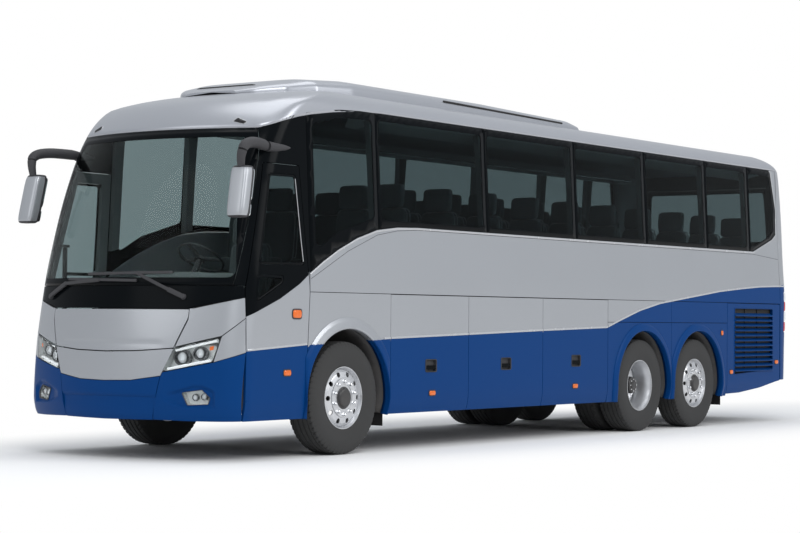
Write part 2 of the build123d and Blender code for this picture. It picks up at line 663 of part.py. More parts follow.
TWIN_MIDDLE = WHEEL_X - TWIN_SPACING / 2
with BuildPart() as rim:
    add(barrel_form(WHEEL_X))
    stack(DISC_OUTSIDE, WHEEL_X)
    stack(DISC_INSIDE, WHEEL_X, mode=Mode.SUBTRACT)
    stack(HUB_OUTSIDE, WHEEL_X)
    rod((WHEEL_X - 60, 0, 0), (WHEEL_X + 100, 0, 0), SPINDLE + FIT, Mode.SUBTRACT)
    hand_holes(WHEEL_X + 60, WHEEL_X + 150, 226)
with BuildPart() as twin_rims:
    add(barrel_form(WHEEL_X))
    add(barrel_form(WHEEL_X - TWIN_SPACING))
    stack(TWIN_DISC, TWIN_MIDDLE)
    hand_holes(TWIN_MIDDLE - 100, TWIN_MIDDLE + 100, 208)
    stack(TWIN_HUB, TWIN_MIDDLE)
    rod((TWIN_MIDDLE - 240, 0, 0), (TWIN_MIDDLE + 226, 0, 0), SPINDLE + FIT, Mode.SUBTRACT)
tyre = tyre_form(WHEEL_X)
with BuildPart() as twin_tyres:
    add(tyre)
    add(tyre_form(WHEEL_X - TWIN_SPACING))
WHEELS = (                  # name of the node, station, piece for the left side
    ("tyre_front", 0.0, tyre),
    ("rim_front", 0.0, rim.part),
    ("tyres_drive", DRIVE_STATION, twin_tyres.part),
    ("rims_drive", DRIVE_STATION, twin_rims.part),
    ("tyre_tag", TAG_STATION, tyre),
    ("rim_tag", TAG_STATION, rim.part),
)
for name, station, wheel_piece in WHEELS:
    fitted = Pos(0, at(station), AXLE_HEIGHT) * wheel_piece
    save(f"{name}_left", fitted)
    save(f"{name}_right", fitted.mirror(Plane.YZ))

with BuildPart() as mud_flaps:
    for side in (1, -1):
        slab((side * 915, side * 1170), (652, 660), (240, 1000))
        slab((side * 915, side * 1170), (7718, 7726), (240, 1000))
save("mud_flaps", mud_flaps.part)

# --- Mirrors and wipers ----------------------------------------------------------------------------------------------
MIRROR_ARM = ((1060, -1060), (1120, -1060), (1240, -1330), (1290, -1560), (1290, -1600), (1215, -1600), (1180, -1360))
with BuildPart() as mirrors:
    for side in (1, -1):
        with BuildSketch(Plane.XY.offset(2735)):
            Polygon(*[(side * x, at(station)) for x, station in MIRROR_ARM], align=None)
        extrude(amount=60)
        with BuildSketch(Plane.XY.offset(2560)):
            with Locations((side * 1252, at(-1570))):
                Rectangle(70, 60)
        extrude(amount=180)
        with BuildPart(mode=Mode.PRIVATE) as head:
            with Locations((side * 1250, at(-1560), 2340)):
                Box(180, 150, 460)
            chamfer(head.edges().filter_by(Axis.Z), 40)
        add(head.part)
    add(nose, mode=Mode.SUBTRACT)
save("mirrors", mirrors.part)

WIPER_ARMS = (              # front view outlines (x, height) of the two arms and the two blades
    ((812, 1400), (835, 1432), (345, 1650), (318, 1636)),
    ((-812, 1400), (-835, 1432), (-595, 1640), (-560, 1626)),
    ((860, 1655), (860, 1672), (-80, 1672), (-80, 1655)),
    ((-330, 1628), (-330, 1645), (-860, 1642), (-860, 1625)),
)
with BuildPart() as wipers:
    add(wiper_layer)
    front_cut(WIPER_ARMS, Mode.INTERSECT)
with BuildPart() as wiper_pivots:
    add(over_screen)
    add(wiper_layer)
    add(nose, mode=Mode.SUBTRACT)
    with BuildSketch(Plane.XZ.offset(-at(-1480))):
        with Locations((822, 1415), (-822, 1415)):
            RegularPolygon(26, 8)
    extrude(amount=600, mode=Mode.INTERSECT)
save("wipers", wipers.part + wiper_pivots.part)

# --- Inside -----------------------------------------------------------------------------------------------------------
DASH_SIDE = ((-1720, 1005), (-1600, 1005), (-1500, 1330), (-1390, 1430), (-1410, 1600), (-1500, 1650), (-1620, 1580),
             (-1720, 1480))
with BuildPart() as dashboard:
    with BuildSketch(Plane.YZ.offset(-300)):
        Polygon(*placed(DASH_SIDE), align=None)
    extrude(amount=1500)
    add(nose_inside, mode=Mode.INTERSECT)
    wheel_centre = Vector(560, at(-1330), 1720)
    column_direction = Vector(0, 0.55, 0.83).normalized()
    rod(wheel_centre - column_direction * 420, wheel_centre, 30, sides=8)
    with BuildSketch(Plane(origin=wheel_centre, z_dir=column_direction)) as wheel_disc:
        RegularPolygon(225, 20)
        RegularPolygon(200, 20, mode=Mode.SUBTRACT)
        Rectangle(410, 40)
    extrude(wheel_disc.sketch, amount=22)
save("dashboard", dashboard.part)

CUSHION_SIDE = ((0, 0), (0, 470), (400, 445), (430, 0))
BACK_SIDE = ((440, 380), (560, 1150), (650, 1140), (545, 380))


def seat_piece(profile, x_range, station, base):
    """A cushion on its base or a backrest, in the part being built: the side profile (station, height)."""
    with BuildSketch(Plane.YZ.offset(x_range[0])) as section:
        Polygon(*placed([(station + along, base + up) for along, up in profile]), align=None)
    extrude(section.sketch, amount=x_range[1] - x_range[0])


DRIVER_SEAT = ((330, 790), -1160, PLATFORM)
with BuildPart() as driver_seat:
    seat_piece(CUSHION_SIDE, *DRIVER_SEAT)
    seat_piece(BACK_SIDE, *DRIVER_SEAT)
    slab((430, 690), (-760, -700), (PLATFORM + 380, PLATFORM + 440))
save("driver_seat", driver_seat.part)

ROWS = 10
ROW_PITCH = 830.0
SEATS = [(x_range, 560 + row * ROW_PITCH, DECK) for row in range(ROWS) for x_range in ((250, 1130), (-1130, -250))]
with BuildPart() as seat_cushions:
    for place in SEATS:
        seat_piece(CUSHION_SIDE, *place)
save("seat_cushions", seat_cushions.part)
with BuildPart() as seat_backs:
    for place in SEATS:
        seat_piece(BACK_SIDE, *place)
save("seat_backs", seat_backs.part)

with BuildPart() as luggage_racks:
    for side in (1, -1):
        with BuildSketch(Plane.XZ.offset(-at(8900))):
            Polygon((side * half_width(3120) - side * WALL, 3120), (side * 850, 3060), (side * 720, 3090),
                    (side * 760, 3180), (side * (half_width(CANT) - WALL), CANT), align=None)
        extrude(amount=8300)
save("luggage_racks", luggage_racks.part)
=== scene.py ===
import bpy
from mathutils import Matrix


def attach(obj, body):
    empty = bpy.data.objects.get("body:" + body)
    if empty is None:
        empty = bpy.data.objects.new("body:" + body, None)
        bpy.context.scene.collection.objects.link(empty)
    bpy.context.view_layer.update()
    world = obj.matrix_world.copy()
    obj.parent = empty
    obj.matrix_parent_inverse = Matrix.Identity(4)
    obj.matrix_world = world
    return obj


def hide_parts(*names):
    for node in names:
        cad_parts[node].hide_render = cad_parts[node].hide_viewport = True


bl_info = {
    "name": "Touring coach",
    "version": (1, 0, 0),
    "blender": (4, 5, 0),
    "location": "View3D > Sidebar > Coach",
    "description": "Body panels, glazing, wheels, lamps and cabin of a three-axle touring coach",
    "category": "Object",
}

from math import cos, pi, radians, sin

import bmesh
import bpy
import numpy as np
from mathutils import Matrix, Vector
from mathutils.geometry import delaunay_2d_cdt

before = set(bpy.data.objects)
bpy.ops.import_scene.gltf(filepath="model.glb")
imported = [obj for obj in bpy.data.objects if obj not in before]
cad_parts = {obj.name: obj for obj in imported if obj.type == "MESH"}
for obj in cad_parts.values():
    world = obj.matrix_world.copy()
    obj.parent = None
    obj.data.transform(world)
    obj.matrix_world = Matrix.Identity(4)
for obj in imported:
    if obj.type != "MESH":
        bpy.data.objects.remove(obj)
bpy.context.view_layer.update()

FRONT_AXLE = -3.890         # y of the front axle; stations are measured back from it
DRIVE, TAG = 5.633, 6.974   # stations of the drive and tag axles
AXLE_HEIGHT = 0.522
LAMP_AIM = (0.10, -1.0, 0.0)
WHEEL_X = 1.071
TWIN_X = 0.736
SKIRT = 0.352               # lower edge of the panels
BELT = 1.490                # seam over the luggage doors
SEAM = 0.0028               # half the gap between two fixed panels
MOULDING_RISE = (0, 0.010)  # mouldings lie this far above the colour line
DECK = 1.400                # passenger floor
SEAT_ROWS, FIRST_ROW, SEAT_PITCH = 10, 0.560, 0.830
BOLT_CIRCLE = 0.1535


# --- The coach's outer surface ------------------------------------------------------------------------------
# One row a level: level, height, half width, station of the front, station of the rear
LEVELS = np.array([
    (0.350, 0.350, 1.228, -1.905, 9.655),
    (0.520, 0.520, 1.250, -1.930, 9.680),
    (0.900, 0.900, 1.250, -1.910, 9.692),
    (1.490, 1.490, 1.250, -1.818, 9.710),
    (2.000, 2.000, 1.2232, -1.700, 9.706),
    (2.500, 2.500, 1.1968, -1.540, 9.702),
    (2.940, 2.940, 1.1737, -1.322, 9.680),
    (3.200, 3.200, 1.160, -1.045, 9.640),
    (3.293, 3.285, 1.122, -0.775, 9.520),
    (3.391, 3.345, 1.045, -0.490, 9.330),
    (3.561, 3.385, 0.880, -0.120, 9.000),
    (3.922, 3.410, 0.520, 0.500, 8.300),
])
ROOF_CAP = 3.922
FRONT = {"sign": -1.0, "bow": 2.450, "corner": 0.300, "column": 3}
REAR = {"sign": 1.0, "bow": 6.500, "corner": 0.330, "column": 4}


def smooth_curve(x, xs, ys):
    """Piecewise cubic through the points (xs, ys) with harmonic-mean slopes, so it never swings past them."""
    x = np.clip(np.asarray(x, float), xs[0], xs[-1])
    step = np.diff(xs)
    slope = np.diff(ys) / step
    same = slope[:-1] * slope[1:] > 0
    middle = np.where(same, 2 * slope[:-1] * slope[1:] / np.where(same, slope[:-1] + slope[1:], 1), 0)
    tangent = np.concatenate([slope[:1], middle, slope[-1:]])
    i = np.clip(np.searchsorted(xs, x, side="right") - 1, 0, len(step) - 1)
    t = (x - xs[i]) / step[i]
    return ((1 + 2 * t) * (1 - t) ** 2 * ys[i] + t * (1 - t) ** 2 * step[i] * tangent[i]
            + t**2 * (3 - 2 * t) * ys[i + 1] + t**2 * (t - 1) * step[i] * tangent[i + 1])


def plan_at(level, end):
    """Half width, corner middle, bow middle and the bow's half angle of one end of the plan at each level."""
    half = smooth_curve(level, LEVELS[:, 0], LEVELS[:, 2])
    tip = smooth_curve(level, LEVELS[:, 0], LEVELS[:, end["column"]])
    across = half - end["corner"]
    bow_y = tip - end["sign"] * end["bow"]
    corner_y = bow_y + end["sign"] * np.sqrt((end["bow"] - end["corner"]) ** 2 - across**2)
    spread = np.arcsin(across / (end["bow"] - end["corner"]))
    return half, across, corner_y, bow_y, spread


def height_at(level):
    return smooth_curve(level, LEVELS[:, 0], LEVELS[:, 1])


def skin(around, level, end=FRONT, proud=0.0):
    """Point of the outer surface: around is the distance along the plan from the middle of that end.

    It is positive on the left. The plan is an arc across the end, a corner arc that touches it, and a
    straight side. proud moves the point out along the level normal of the plan."""
    around, level, proud = np.broadcast_arrays(*[np.asarray(v, float) for v in (around, level, proud)])
    half, across, corner_y, bow_y, spread = plan_at(level, end)
    run = np.abs(around)
    bow, corner, sign = end["bow"], end["corner"], end["sign"]
    on_bow = run / bow
    on_corner = spread + (run - bow * spread) / corner
    past = run - bow * spread - corner * (pi / 2 - spread)
    angle = np.where(run < bow * spread, on_bow, np.minimum(on_corner, pi / 2))
    is_bow = run < bow * spread
    x = np.where(is_bow, (bow + proud) * np.sin(angle), across + (corner + proud) * np.sin(angle))
    y = np.where(is_bow, bow_y + sign * (bow + proud) * np.cos(angle), corner_y + sign * (corner + proud)
                 * np.cos(angle))
    x = np.where(past > 0, half + proud, x)
    y = np.where(past > 0, corner_y - sign * past, y)
    return np.stack([np.where(around < 0, -x, x), y + FRONT_AXLE, height_at(level)], -1)


def around_from_station(station, level, end=FRONT):
    """Distance along the plan from the middle of the end to a station, on the left side."""
    station, level = np.broadcast_arrays(np.asarray(station, float), np.asarray(level, float))
    corner_y, bow_y, spread = plan_at(level, end)[2:]
    sign, bow, corner = end["sign"], end["bow"], end["corner"]
    beyond = sign * (station - corner_y)
    turn = np.arccos(unit(beyond / corner))
    on_bow = bow * np.arccos(np.clip(sign * (station - bow_y) / bow, -1, 1))
    on_corner = bow * spread + corner * (turn - spread)
    side = bow * spread + corner * (pi / 2 - spread) - beyond
    return np.where(beyond < 0, side, np.where(turn > spread, on_corner, on_bow))


def around_from_x(x, level, end=FRONT):
    """Distance along the plan from the middle of the end to a distance x across the coach."""
    x, level = np.broadcast_arrays(np.asarray(x, float), np.asarray(level, float))
    half, across, *_, spread = plan_at(level, end)
    bow, corner = end["bow"], end["corner"]
    wide = np.minimum(np.abs(x), half)
    on_corner = bow * spread + corner * (np.arcsin(unit((wide - across) / corner)) - spread)
    on_bow = bow * np.arcsin(unit(wide / bow))
    run = np.where(wide < bow * np.sin(spread), on_bow, on_corner)
    return np.where(x < 0, -run, run)


def outward(around, level, end=FRONT):
    """Unit normals of the outer surface, from small steps along and up."""
    small = 0.002
    along = skin(around + small, level, end) - skin(around - small, level, end)
    up = skin(around, level + small, end) - skin(around, level - small, end)
    normal = np.cross(along, up) * (1.0 if end is FRONT else -1.0)
    return normal / np.maximum(np.linalg.norm(normal, axis=-1, keepdims=True), 1e-12)


def full_turn(count):
    """Angles of count points evenly round a circle."""
    return np.linspace(0, 2 * pi, count, endpoint=False)


def unit(value):
    """The value held between 0 and 1."""
    return np.clip(value, 0, 1)


def squarish(value, power):
    """A sine or cosine raised to a power with its sign kept, which squares off the circle that it draws."""
    return np.sign(value) * np.abs(value) ** power


# --- Outlines on the surface --------------------------------------------------------------------------------
def dense(points, step=0.05, closed=True):
    """The corner points of an outline with points added along each run, at most step apart."""
    points = np.asarray(points, float)
    nxt = np.roll(points, -1, 0) if closed else points[1:]
    start = points if closed else points[:-1]
    runs = [a + (b - a) * np.arange(n)[:, None] / n for a, b,
            n in zip(start, nxt, np.maximum(1,
                                            np.ceil(np.linalg.norm(nxt - start, axis=1) / step)).astype(int))]
    return np.vstack(runs if closed else runs + [points[-1:]])


def rounded(points, radius, steps=5):
    """A closed outline with its corners turned into arcs; radius is one number or one for each corner."""
    points = np.asarray(points, float)
    radii = np.broadcast_to(np.asarray(radius, float), len(points))
    out = []
    for i, here in enumerate(points):
        before, after = points[i - 1] - here, points[(i + 1) % len(points)] - here
        a, b = np.linalg.norm(before), np.linalg.norm(after)
        before, after = before / a, after / b
        bend = np.arccos(np.clip(before @ after, -1, 1))
        reach = min(radii[i] / max(np.tan(bend / 2), 1e-6), 0.48 * a, 0.48 * b)
        if radii[i] <= 0 or reach < 1e-5 or bend > 3.05:
            out.append(here[None])
            continue
        t = np.linspace(0, 1, steps)[:, None]
        out.append((1 - t) ** 2 * (here + before * reach) + 2 * t * (1 - t) * here + t**2
                   * (here + after * reach))
    return np.vstack(out)


def moved_in(points, amount):
    """A closed outline moved inwards by amount, with mitred corners."""
    points = np.asarray(points, float)
    nxt = np.roll(points, -1, 0)
    area = np.sum(points[:, 0] * nxt[:, 1] - nxt[:, 0] * points[:, 1])
    run = nxt - points
    normal = np.stack([-run[:, 1], run[:, 0]], 1) / np.linalg.norm(run, axis=1, keepdims=True) * np.sign(area)
    before = np.roll(normal, 1, 0)
    mitre = before + normal
    return points + amount * mitre * (2 / np.maximum(np.sum(mitre**2, 1), 0.4))[:, None]


def closed_line(outline):
    """A closed outline as a run that ends where it begins."""
    return np.vstack([outline, outline[:1]])


def side_outline(points, step=0.05, closed=True, end=FRONT):
    """(station, height) corners as a dense outline on the surface of the left side."""
    points = dense(points, step, closed)
    return np.stack([around_from_station(points[:, 0], points[:, 1], end), points[:, 1]], 1)


def end_outline(points, step=0.05, closed=True, end=FRONT):
    """(x, height) corners, seen from the front or the rear, as a dense outline on the surface."""
    points = dense(points, step, closed)
    return np.stack([around_from_x(points[:, 0], points[:, 1], end), points[:, 1]], 1)


def side_run(points, step=0.05):
    """Like side_outline, for an open run of points."""
    return side_outline(points, step, closed=False)


def end_run(points, step=0.05, end=FRONT):
    """Like end_outline, for an open run of points."""
    return end_outline(points, step, False, end)


def rectangle(left, low, right, high):
    """Corners of an upright rectangle, anticlockwise from the lower left."""
    return [(left, low), (right, low), (right, high), (left, high)]


def within(points, outline):
    """Which points lie inside a closed outline, by counting the edges to their right."""
    a, b = outline, np.roll(outline, -1, 0)
    px, py = points[:, 0, None], points[:, 1, None]
    straddle = (a[:, 1] > py) != (b[:, 1] > py)
    rise = np.where(b[:, 1] == a[:, 1], 1, b[:, 1] - a[:, 1])
    cross = a[:, 0] + (py - a[:, 1]) * (b[:, 0] - a[:, 0]) / rise
    return np.sum(straddle & (px < cross), 1) % 2 == 1


def near_edges(points, outlines, reach):
    """Which points lie closer than reach to an outline's points."""
    edge = np.vstack(outlines)
    keep = np.zeros(len(points), bool)
    for part in np.array_split(np.arange(len(points)), max(1, len(points) // 2000)):
        gap = np.min(np.sum((points[part, None] - edge[None]) ** 2, -1), 1)
        keep[part] = gap < reach**2
    return keep


# --- Meshes: (points, faces as rows of four with -1 for a missing corner, kinds) ----------------------------
def flat_mesh(outlines, holes=(), lines=(), step=0.08, fine=None):
    """Triangles that fill the outlines less the holes, with edges along the lines and a grid inside."""
    loops = [*outlines, *holes]
    low = np.min([o.min(0) for o in outlines], 0)
    high = np.max([o.max(0) for o in outlines], 0)
    a = np.arange(low[0] + step / 2, high[0], step)
    if fine is not None:
        a = np.concatenate([a[(a < fine[0]) | (a > fine[1])],
                            np.arange(max(low[0], fine[0]), min(high[0], fine[1]), fine[2])])
    b = np.arange(low[1] + step / 2, high[1], step)
    grid = np.stack(np.meshgrid(a, b), -1).reshape(-1, 2)
    inside = np.sum([within(grid, loop) for loop in loops], 0) % 2 == 1
    grid = grid[inside]
    if len(grid):
        grid = grid[~near_edges(grid, [*loops, *lines], 0.35 * (fine[2] if fine else step))]
    points, edges = [*loops, *lines, grid], []
    start = 0
    for loop in loops:
        index = start + np.arange(len(loop))
        edges.append(np.stack([index, np.roll(index, -1)], 1))
        start += len(loop)
    for line in lines:
        index = start + np.arange(len(line))
        edges.append(np.stack([index[:-1], index[1:]], 1))
        start += len(line)
    points = np.vstack(points)
    out = delaunay_2d_cdt([tuple(p) for p in points], [tuple(e) for e in np.vstack(edges).tolist()], [],
                          0, 1e-6)
    verts = np.array([tuple(v) for v in out[0]])
    faces = np.array([f for f in out[2] if len(f) == 3])
    middle = verts[faces].mean(1)
    inside = np.sum([within(middle, loop) for loop in loops], 0) % 2 == 1
    faces, middle = faces[inside], middle[inside]
    a, b, c = verts[faces[:, 0]], verts[faces[:, 1]], verts[faces[:, 2]]
    turned = np.cross(b - a, c - a) < 0
    faces[turned] = faces[turned][:, ::-1]
    used, numbers = np.unique(faces, return_inverse=True)
    return verts[used], numbers.reshape(faces.shape), middle


def triangles(faces):
    return np.hstack([faces, np.full((len(faces), 1), -1)])


def joined(*meshes):
    """Several meshes as one."""
    points, faces, kinds, start = [], [], [], 0
    for p, f, k in meshes:
        points.append(p)
        faces.append(np.where(f >= 0, f + start, -1))
        kinds.append(np.broadcast_to(k, len(f)))
        start += len(p)
    return np.vstack(points), np.vstack(faces), np.concatenate(kinds)


def mirrored(mesh):
    """The mesh on the other side of the coach, with its faces turned to point outwards again."""
    points, faces, kinds = mesh
    three = faces[:, 3] < 0
    turned = faces[:, ::-1].copy()
    turned[three] = np.hstack([faces[three][:, 2::-1], np.full((three.sum(), 1), -1)])
    return points * (-1, 1, 1), turned, kinds


def both(mesh):
    return joined(mesh, mirrored(mesh))


def sheet_faces(rows, columns, wrap_rows=False, wrap_columns=False):
    """Quads of a grid of points that is numbered row by row."""
    i = np.arange(rows if wrap_rows else rows - 1)
    j = np.arange(columns if wrap_columns else columns - 1)
    i, j = [v.ravel() for v in np.meshgrid(i, j, indexing="ij")]
    k, m = (i + 1) % rows, (j + 1) % columns
    return np.stack([i * columns + j, i * columns + m, k * columns + m, k * columns + j], 1)


def sheet(points, kind=0, wrap_rows=False, wrap_columns=False, flip=False):
    """A grid of points (rows, columns, 3) as a mesh."""
    faces = sheet_faces(points.shape[0], points.shape[1], wrap_rows, wrap_columns)
    return points.reshape(-1, 3), faces[:, ::-1] if flip else faces, np.full(len(faces), kind)


def fan(ring, kind=0, flip=False):
    """Triangles from each side of a ring to its middle."""
    count = len(ring)
    index = np.arange(count)
    faces = np.stack([index, np.roll(index, -1), np.full(count, count)], 1)
    points = np.vstack([ring, ring.mean(0, keepdims=True)])
    return points, triangles(faces[:, ::-1] if flip else faces), np.full(count, kind)


def capped(points, kind=0, flip=False):
    """A closed tube of rings (rows, columns, 3) whose two ends are closed by fans."""
    body = sheet(points, kind, wrap_columns=True, flip=flip)
    return joined(body, fan(points[0], kind, not flip), fan(points[-1], kind, flip))


def tube(path, radius, sides=12, kind=0, flat=1.0):
    """A round bar along a path: rings of sides points square to it, closed at both ends."""
    path = np.asarray(path, float)
    tangent = np.gradient(path, axis=0)
    tangent /= np.linalg.norm(tangent, axis=1, keepdims=True)
    up = np.where(np.abs(tangent[:, 2:3]) > 0.95, np.array([[0.0, 1.0, 0.0]]), np.array([[0.0, 0.0, 1.0]]))
    side = np.cross(tangent, up)
    side /= np.linalg.norm(side, axis=1, keepdims=True)
    top = np.cross(side, tangent)
    turn = full_turn(sides)
    radius = np.broadcast_to(np.asarray(radius, float), len(path))[:, None, None]
    rings = (path[:, None] + radius * (np.cos(turn)[None, :, None] * side[:, None] * flat
                                       + np.sin(turn)[None, :, None] * top[:, None]))
    return capped(rings, kind, flip=True)


def block(low, high, kind=0):
    """A closed box between two corners."""
    (x0, y0, z0), (x1, y1, z1) = low, high
    points = np.array([(x, y, z) for x in (x0, x1) for y in (y0, y1) for z in (z0, z1)], float)
    faces = np.array([(0, 1, 3, 2), (4, 6, 7, 5), (0, 4, 5, 1), (2, 3, 7, 6), (0, 2, 6, 4), (1, 5, 7, 3)])
    return points, faces, np.full(6, kind)


def prism(outline, axis, low, high, kind=0):
    """An outline in the two other axes carried along axis from low to high, with both ends closed."""
    verts, faces = flat_mesh([np.asarray(outline, float)], step=10.0)[:2]
    count = len(verts)
    others = [i for i in range(3) if i != axis]
    points = np.zeros((2 * count, 3))
    points[:count, others], points[count:, others] = verts, verts
    points[:count, axis], points[count:, axis] = low, high
    edges = np.vstack([faces[:, (0, 1)], faces[:, (1, 2)], faces[:, (2, 0)]])
    keys = {tuple(e) for e in edges.tolist()}
    rim = np.array([e for e in edges.tolist() if (e[1], e[0]) not in keys])
    walls = np.stack([rim[:, 0], rim[:, 1], rim[:, 1] + count, rim[:, 0] + count], 1)
    low_cap, high_cap = triangles(faces[:, ::-1]), triangles(faces + count)
    all_faces = np.vstack([low_cap, high_cap, walls])
    mesh = (points, all_faces, np.full(len(all_faces), kind))
    if axis == 1:
        mesh = (points, *mirrored((points, all_faces, mesh[2]))[1:])
    return mesh


def panel(outlines, holes=(), lines=(), end=FRONT, kind=None, step=0.09, relief=None, depth=0.0,
          fine=(0.0, 1.75, 0.045)):
    """A piece of the outer surface, set in by depth and pressed into shape by relief(around, level)."""
    verts, faces, middle = flat_mesh(outlines, holes, lines, step, fine)
    points = skin(verts[:, 0], verts[:, 1], end)
    push = -depth + (relief(verts[:, 0], verts[:, 1]) if relief else 0.0)
    points = points + outward(verts[:, 0], verts[:, 1], end) * np.reshape(push * np.ones(len(verts)), (-1, 1))
    if end is REAR:
        faces = faces[:, ::-1]
    kinds = kind(middle[:, 0], middle[:, 1]) if callable(kind) else np.full(len(faces), kind or 0)
    return points, triangles(faces), kinds.astype(int)


def glazed(outlines, clear, **how):
    """A bonded pane: a black printed border (kind 0) round its clear outlines (kind 1)."""
    def kind(around, level):
        return np.any([within(np.stack([around, level], 1), line) for line in clear], 0)

    return panel(outlines, lines=[closed_line(line) for line in clear], kind=kind, **how)


def strip(path, profile, end=FRONT, kind=0, closed=False):
    """A moulding along a path on the surface; its profile is (across the path, off the surface)."""
    path = np.asarray(path, float)
    tangent = (np.roll(path, -1, 0) - np.roll(path, 1, 0)) if closed else np.gradient(path, axis=0)
    tangent /= np.linalg.norm(tangent, axis=1, keepdims=True)
    across = np.stack([-tangent[:, 1], tangent[:, 0]], 1)
    profile = np.asarray(profile, float)
    spot = path[:, None] + across[:, None] * profile[None, :, :1]
    base = skin(spot[..., 0], spot[..., 1], end)
    rings = base + outward(spot[..., 0], spot[..., 1], end) * profile[None, :, 1:]
    if closed:
        return sheet(rings, kind, wrap_rows=True, wrap_columns=True, flip=end is REAR)
    return capped(rings, kind, flip=end is REAR)


# --- Objects ------------------------------------------------------------------------------------------------
def piece(name, mesh, finishes, body, replaces=(), wall=0.0, bevel=0.0, smooth=35.0):
    """Put a mesh into the scene: wall gives it a thickness inwards, bevel rounds its edges."""
    points, faces, kinds = mesh
    data = bpy.data.meshes.new(name)
    three = faces[:, 3] < 0
    rows = [row[:3] if t else row for row, t in zip(faces.tolist(), three.tolist())]
    data.from_pydata(points.tolist(), [], rows)
    for finish in finishes if isinstance(finishes, (list, tuple)) else [finishes]:
        data.materials.append(material_of(finish))
    data.polygons.foreach_set("material_index", np.asarray(kinds, np.int32))
    work = bmesh.new()
    work.from_mesh(data)
    bmesh.ops.remove_doubles(work, verts=work.verts, dist=2e-5)
    bmesh.ops.dissolve_degenerate(work, edges=work.edges, dist=1e-6)
    work.to_mesh(data)
    work.free()
    data.shade_smooth()
    data.set_sharp_from_angle(angle=radians(smooth))
    thing = bpy.data.objects.new(name, data)
    bpy.context.scene.collection.objects.link(thing)
    if wall:
        shell = thing.modifiers.new("wall", "SOLIDIFY")
        shell.thickness, shell.offset = wall, -1.0
        shell.use_even_offset = False
    if bevel:
        edge = thing.modifiers.new("edge", "BEVEL")
        edge.width, edge.segments = bevel, 2
        edge.limit_method, edge.angle_limit = "ANGLE", radians(50)
        edge.harden_normals = True
    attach(thing, body)
    if replaces:
        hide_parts(*([replaces] if isinstance(replaces, str) else replaces))
    return thing


def body_panel(name, mesh, body, replaces=(), wall=0.030):
    """A piece in the coach's paints, with rounded panel edges."""
    return piece(name, mesh, BODY_PAINTS, body, replaces, wall,
                 bpy.context.scene.coach_sizes.panel_edge)


# --- Effects that several finishes share --------------------------------------------------------------------
def effect_tree(name, inputs, outputs):
    """A shader node group with named inputs (name, kind, default) and outputs (name, kind)."""
    tree = bpy.data.node_groups.new(name, "ShaderNodeTree")
    for label, kind, default in inputs:
        socket = tree.interface.new_socket(label, in_out="INPUT", socket_type="NodeSocket" + kind)
        socket.default_value = default
    for label, kind in outputs:
        tree.interface.new_socket(label, in_out="OUTPUT", socket_type="NodeSocket" + kind)
    return tree, tree.nodes.new("NodeGroupInput"), tree.nodes.new("NodeGroupOutput")


def plug(tree, socket, value):
    """Link a socket to another node's output, or set its value."""
    if isinstance(value, bpy.types.NodeSocket):
        tree.links.new(value, socket)
    else:
        socket.default_value = value


def node_of(tree, kind, sockets=(), **settings):
    """Add a node with its settings and the values or links of its sockets."""
    node = tree.nodes.new("ShaderNode" + kind)
    for key, value in settings.items():
        setattr(node, key, value)
    for key, value in dict(sockets).items():
        plug(tree, node.inputs[key], value)
    return node


def maths_of(tree, operation, a, b=0.0, clamp=False):
    return node_of(tree, "Math", {0: a, 1: b}, operation=operation, use_clamp=clamp).outputs[0]


def blend_of(tree, amount, a, b):
    node = node_of(tree, "Mix", data_type="RGBA")
    plug(tree, node.inputs[0], amount)
    plug(tree, node.inputs[6], a)
    plug(tree, node.inputs[7], b)
    return node.outputs[2]


def noise_of(tree, place, scale, detail, roughness=0.5):
    sockets = {"Vector": place, "Scale": scale, "Detail": detail, "Roughness": roughness}
    return node_of(tree, "TexNoise", sockets).outputs["Fac"]


def centred(tree, value, amount):
    """The value less a half, times an amount."""
    return maths_of(tree, "MULTIPLY", maths_of(tree, "SUBTRACT", value, 0.5), amount)


def shaded(tree, colour, factor):
    """The colour times a factor."""
    node = node_of(tree, "VectorMath", {0: colour}, operation="SCALE")
    plug(tree, node.inputs["Scale"], factor)
    return node.outputs[0]


def object_place(tree):
    return tree.nodes.new("ShaderNodeTexCoord").outputs["Object"]


def paint_effect():
    """Metallic flecks, slow cloudiness and road dust that thins out with height."""
    name = "coach_paint_effect"
    if name in bpy.data.node_groups:
        return bpy.data.node_groups[name]
    tree, given, out = effect_tree(name, [
        ("Colour", "Color", (0.5, 0.5, 0.5, 1)), ("Fleck", "Float", 0.05), ("Dust", "Float", 0.2),
        ("Dust Colour", "Color", (0.25, 0.22, 0.19, 1)), ("Roughness", "Float", 0.3),
    ], [("Colour", "Color"), ("Roughness", "Float")])
    place = object_place(tree)
    fleck, cloud = noise_of(tree, place, 900.0, 1.0), noise_of(tree, place, 1.3, 3.0)
    speck = noise_of(tree, place, 26.0, 5.0, 0.7)
    height = node_of(tree, "SeparateXYZ", {0: place}).outputs["Z"]
    low = node_of(tree, "MapRange", {"Value": height, "From Min": 0.3, "From Max": 0.85, "To Min": 1.0,
                                     "To Max": 0.0}, interpolation_type="SMOOTHSTEP").outputs["Result"]
    shift = maths_of(tree, "ADD", centred(tree, fleck, given.outputs["Fleck"]), centred(tree, cloud, 0.05))
    varied = shaded(tree, given.outputs["Colour"], maths_of(tree, "ADD", 1.0, shift))
    mask = maths_of(tree, "MULTIPLY", maths_of(tree, "MULTIPLY", low, speck), given.outputs["Dust"],
                    clamp=True)
    plug(tree, out.inputs["Colour"], blend_of(tree, mask, varied, given.outputs["Dust Colour"]))
    rough = maths_of(tree, "ADD", given.outputs["Roughness"], maths_of(tree, "MULTIPLY", mask, 0.5),
                     clamp=True)
    plug(tree, out.inputs["Roughness"], rough)
    return tree


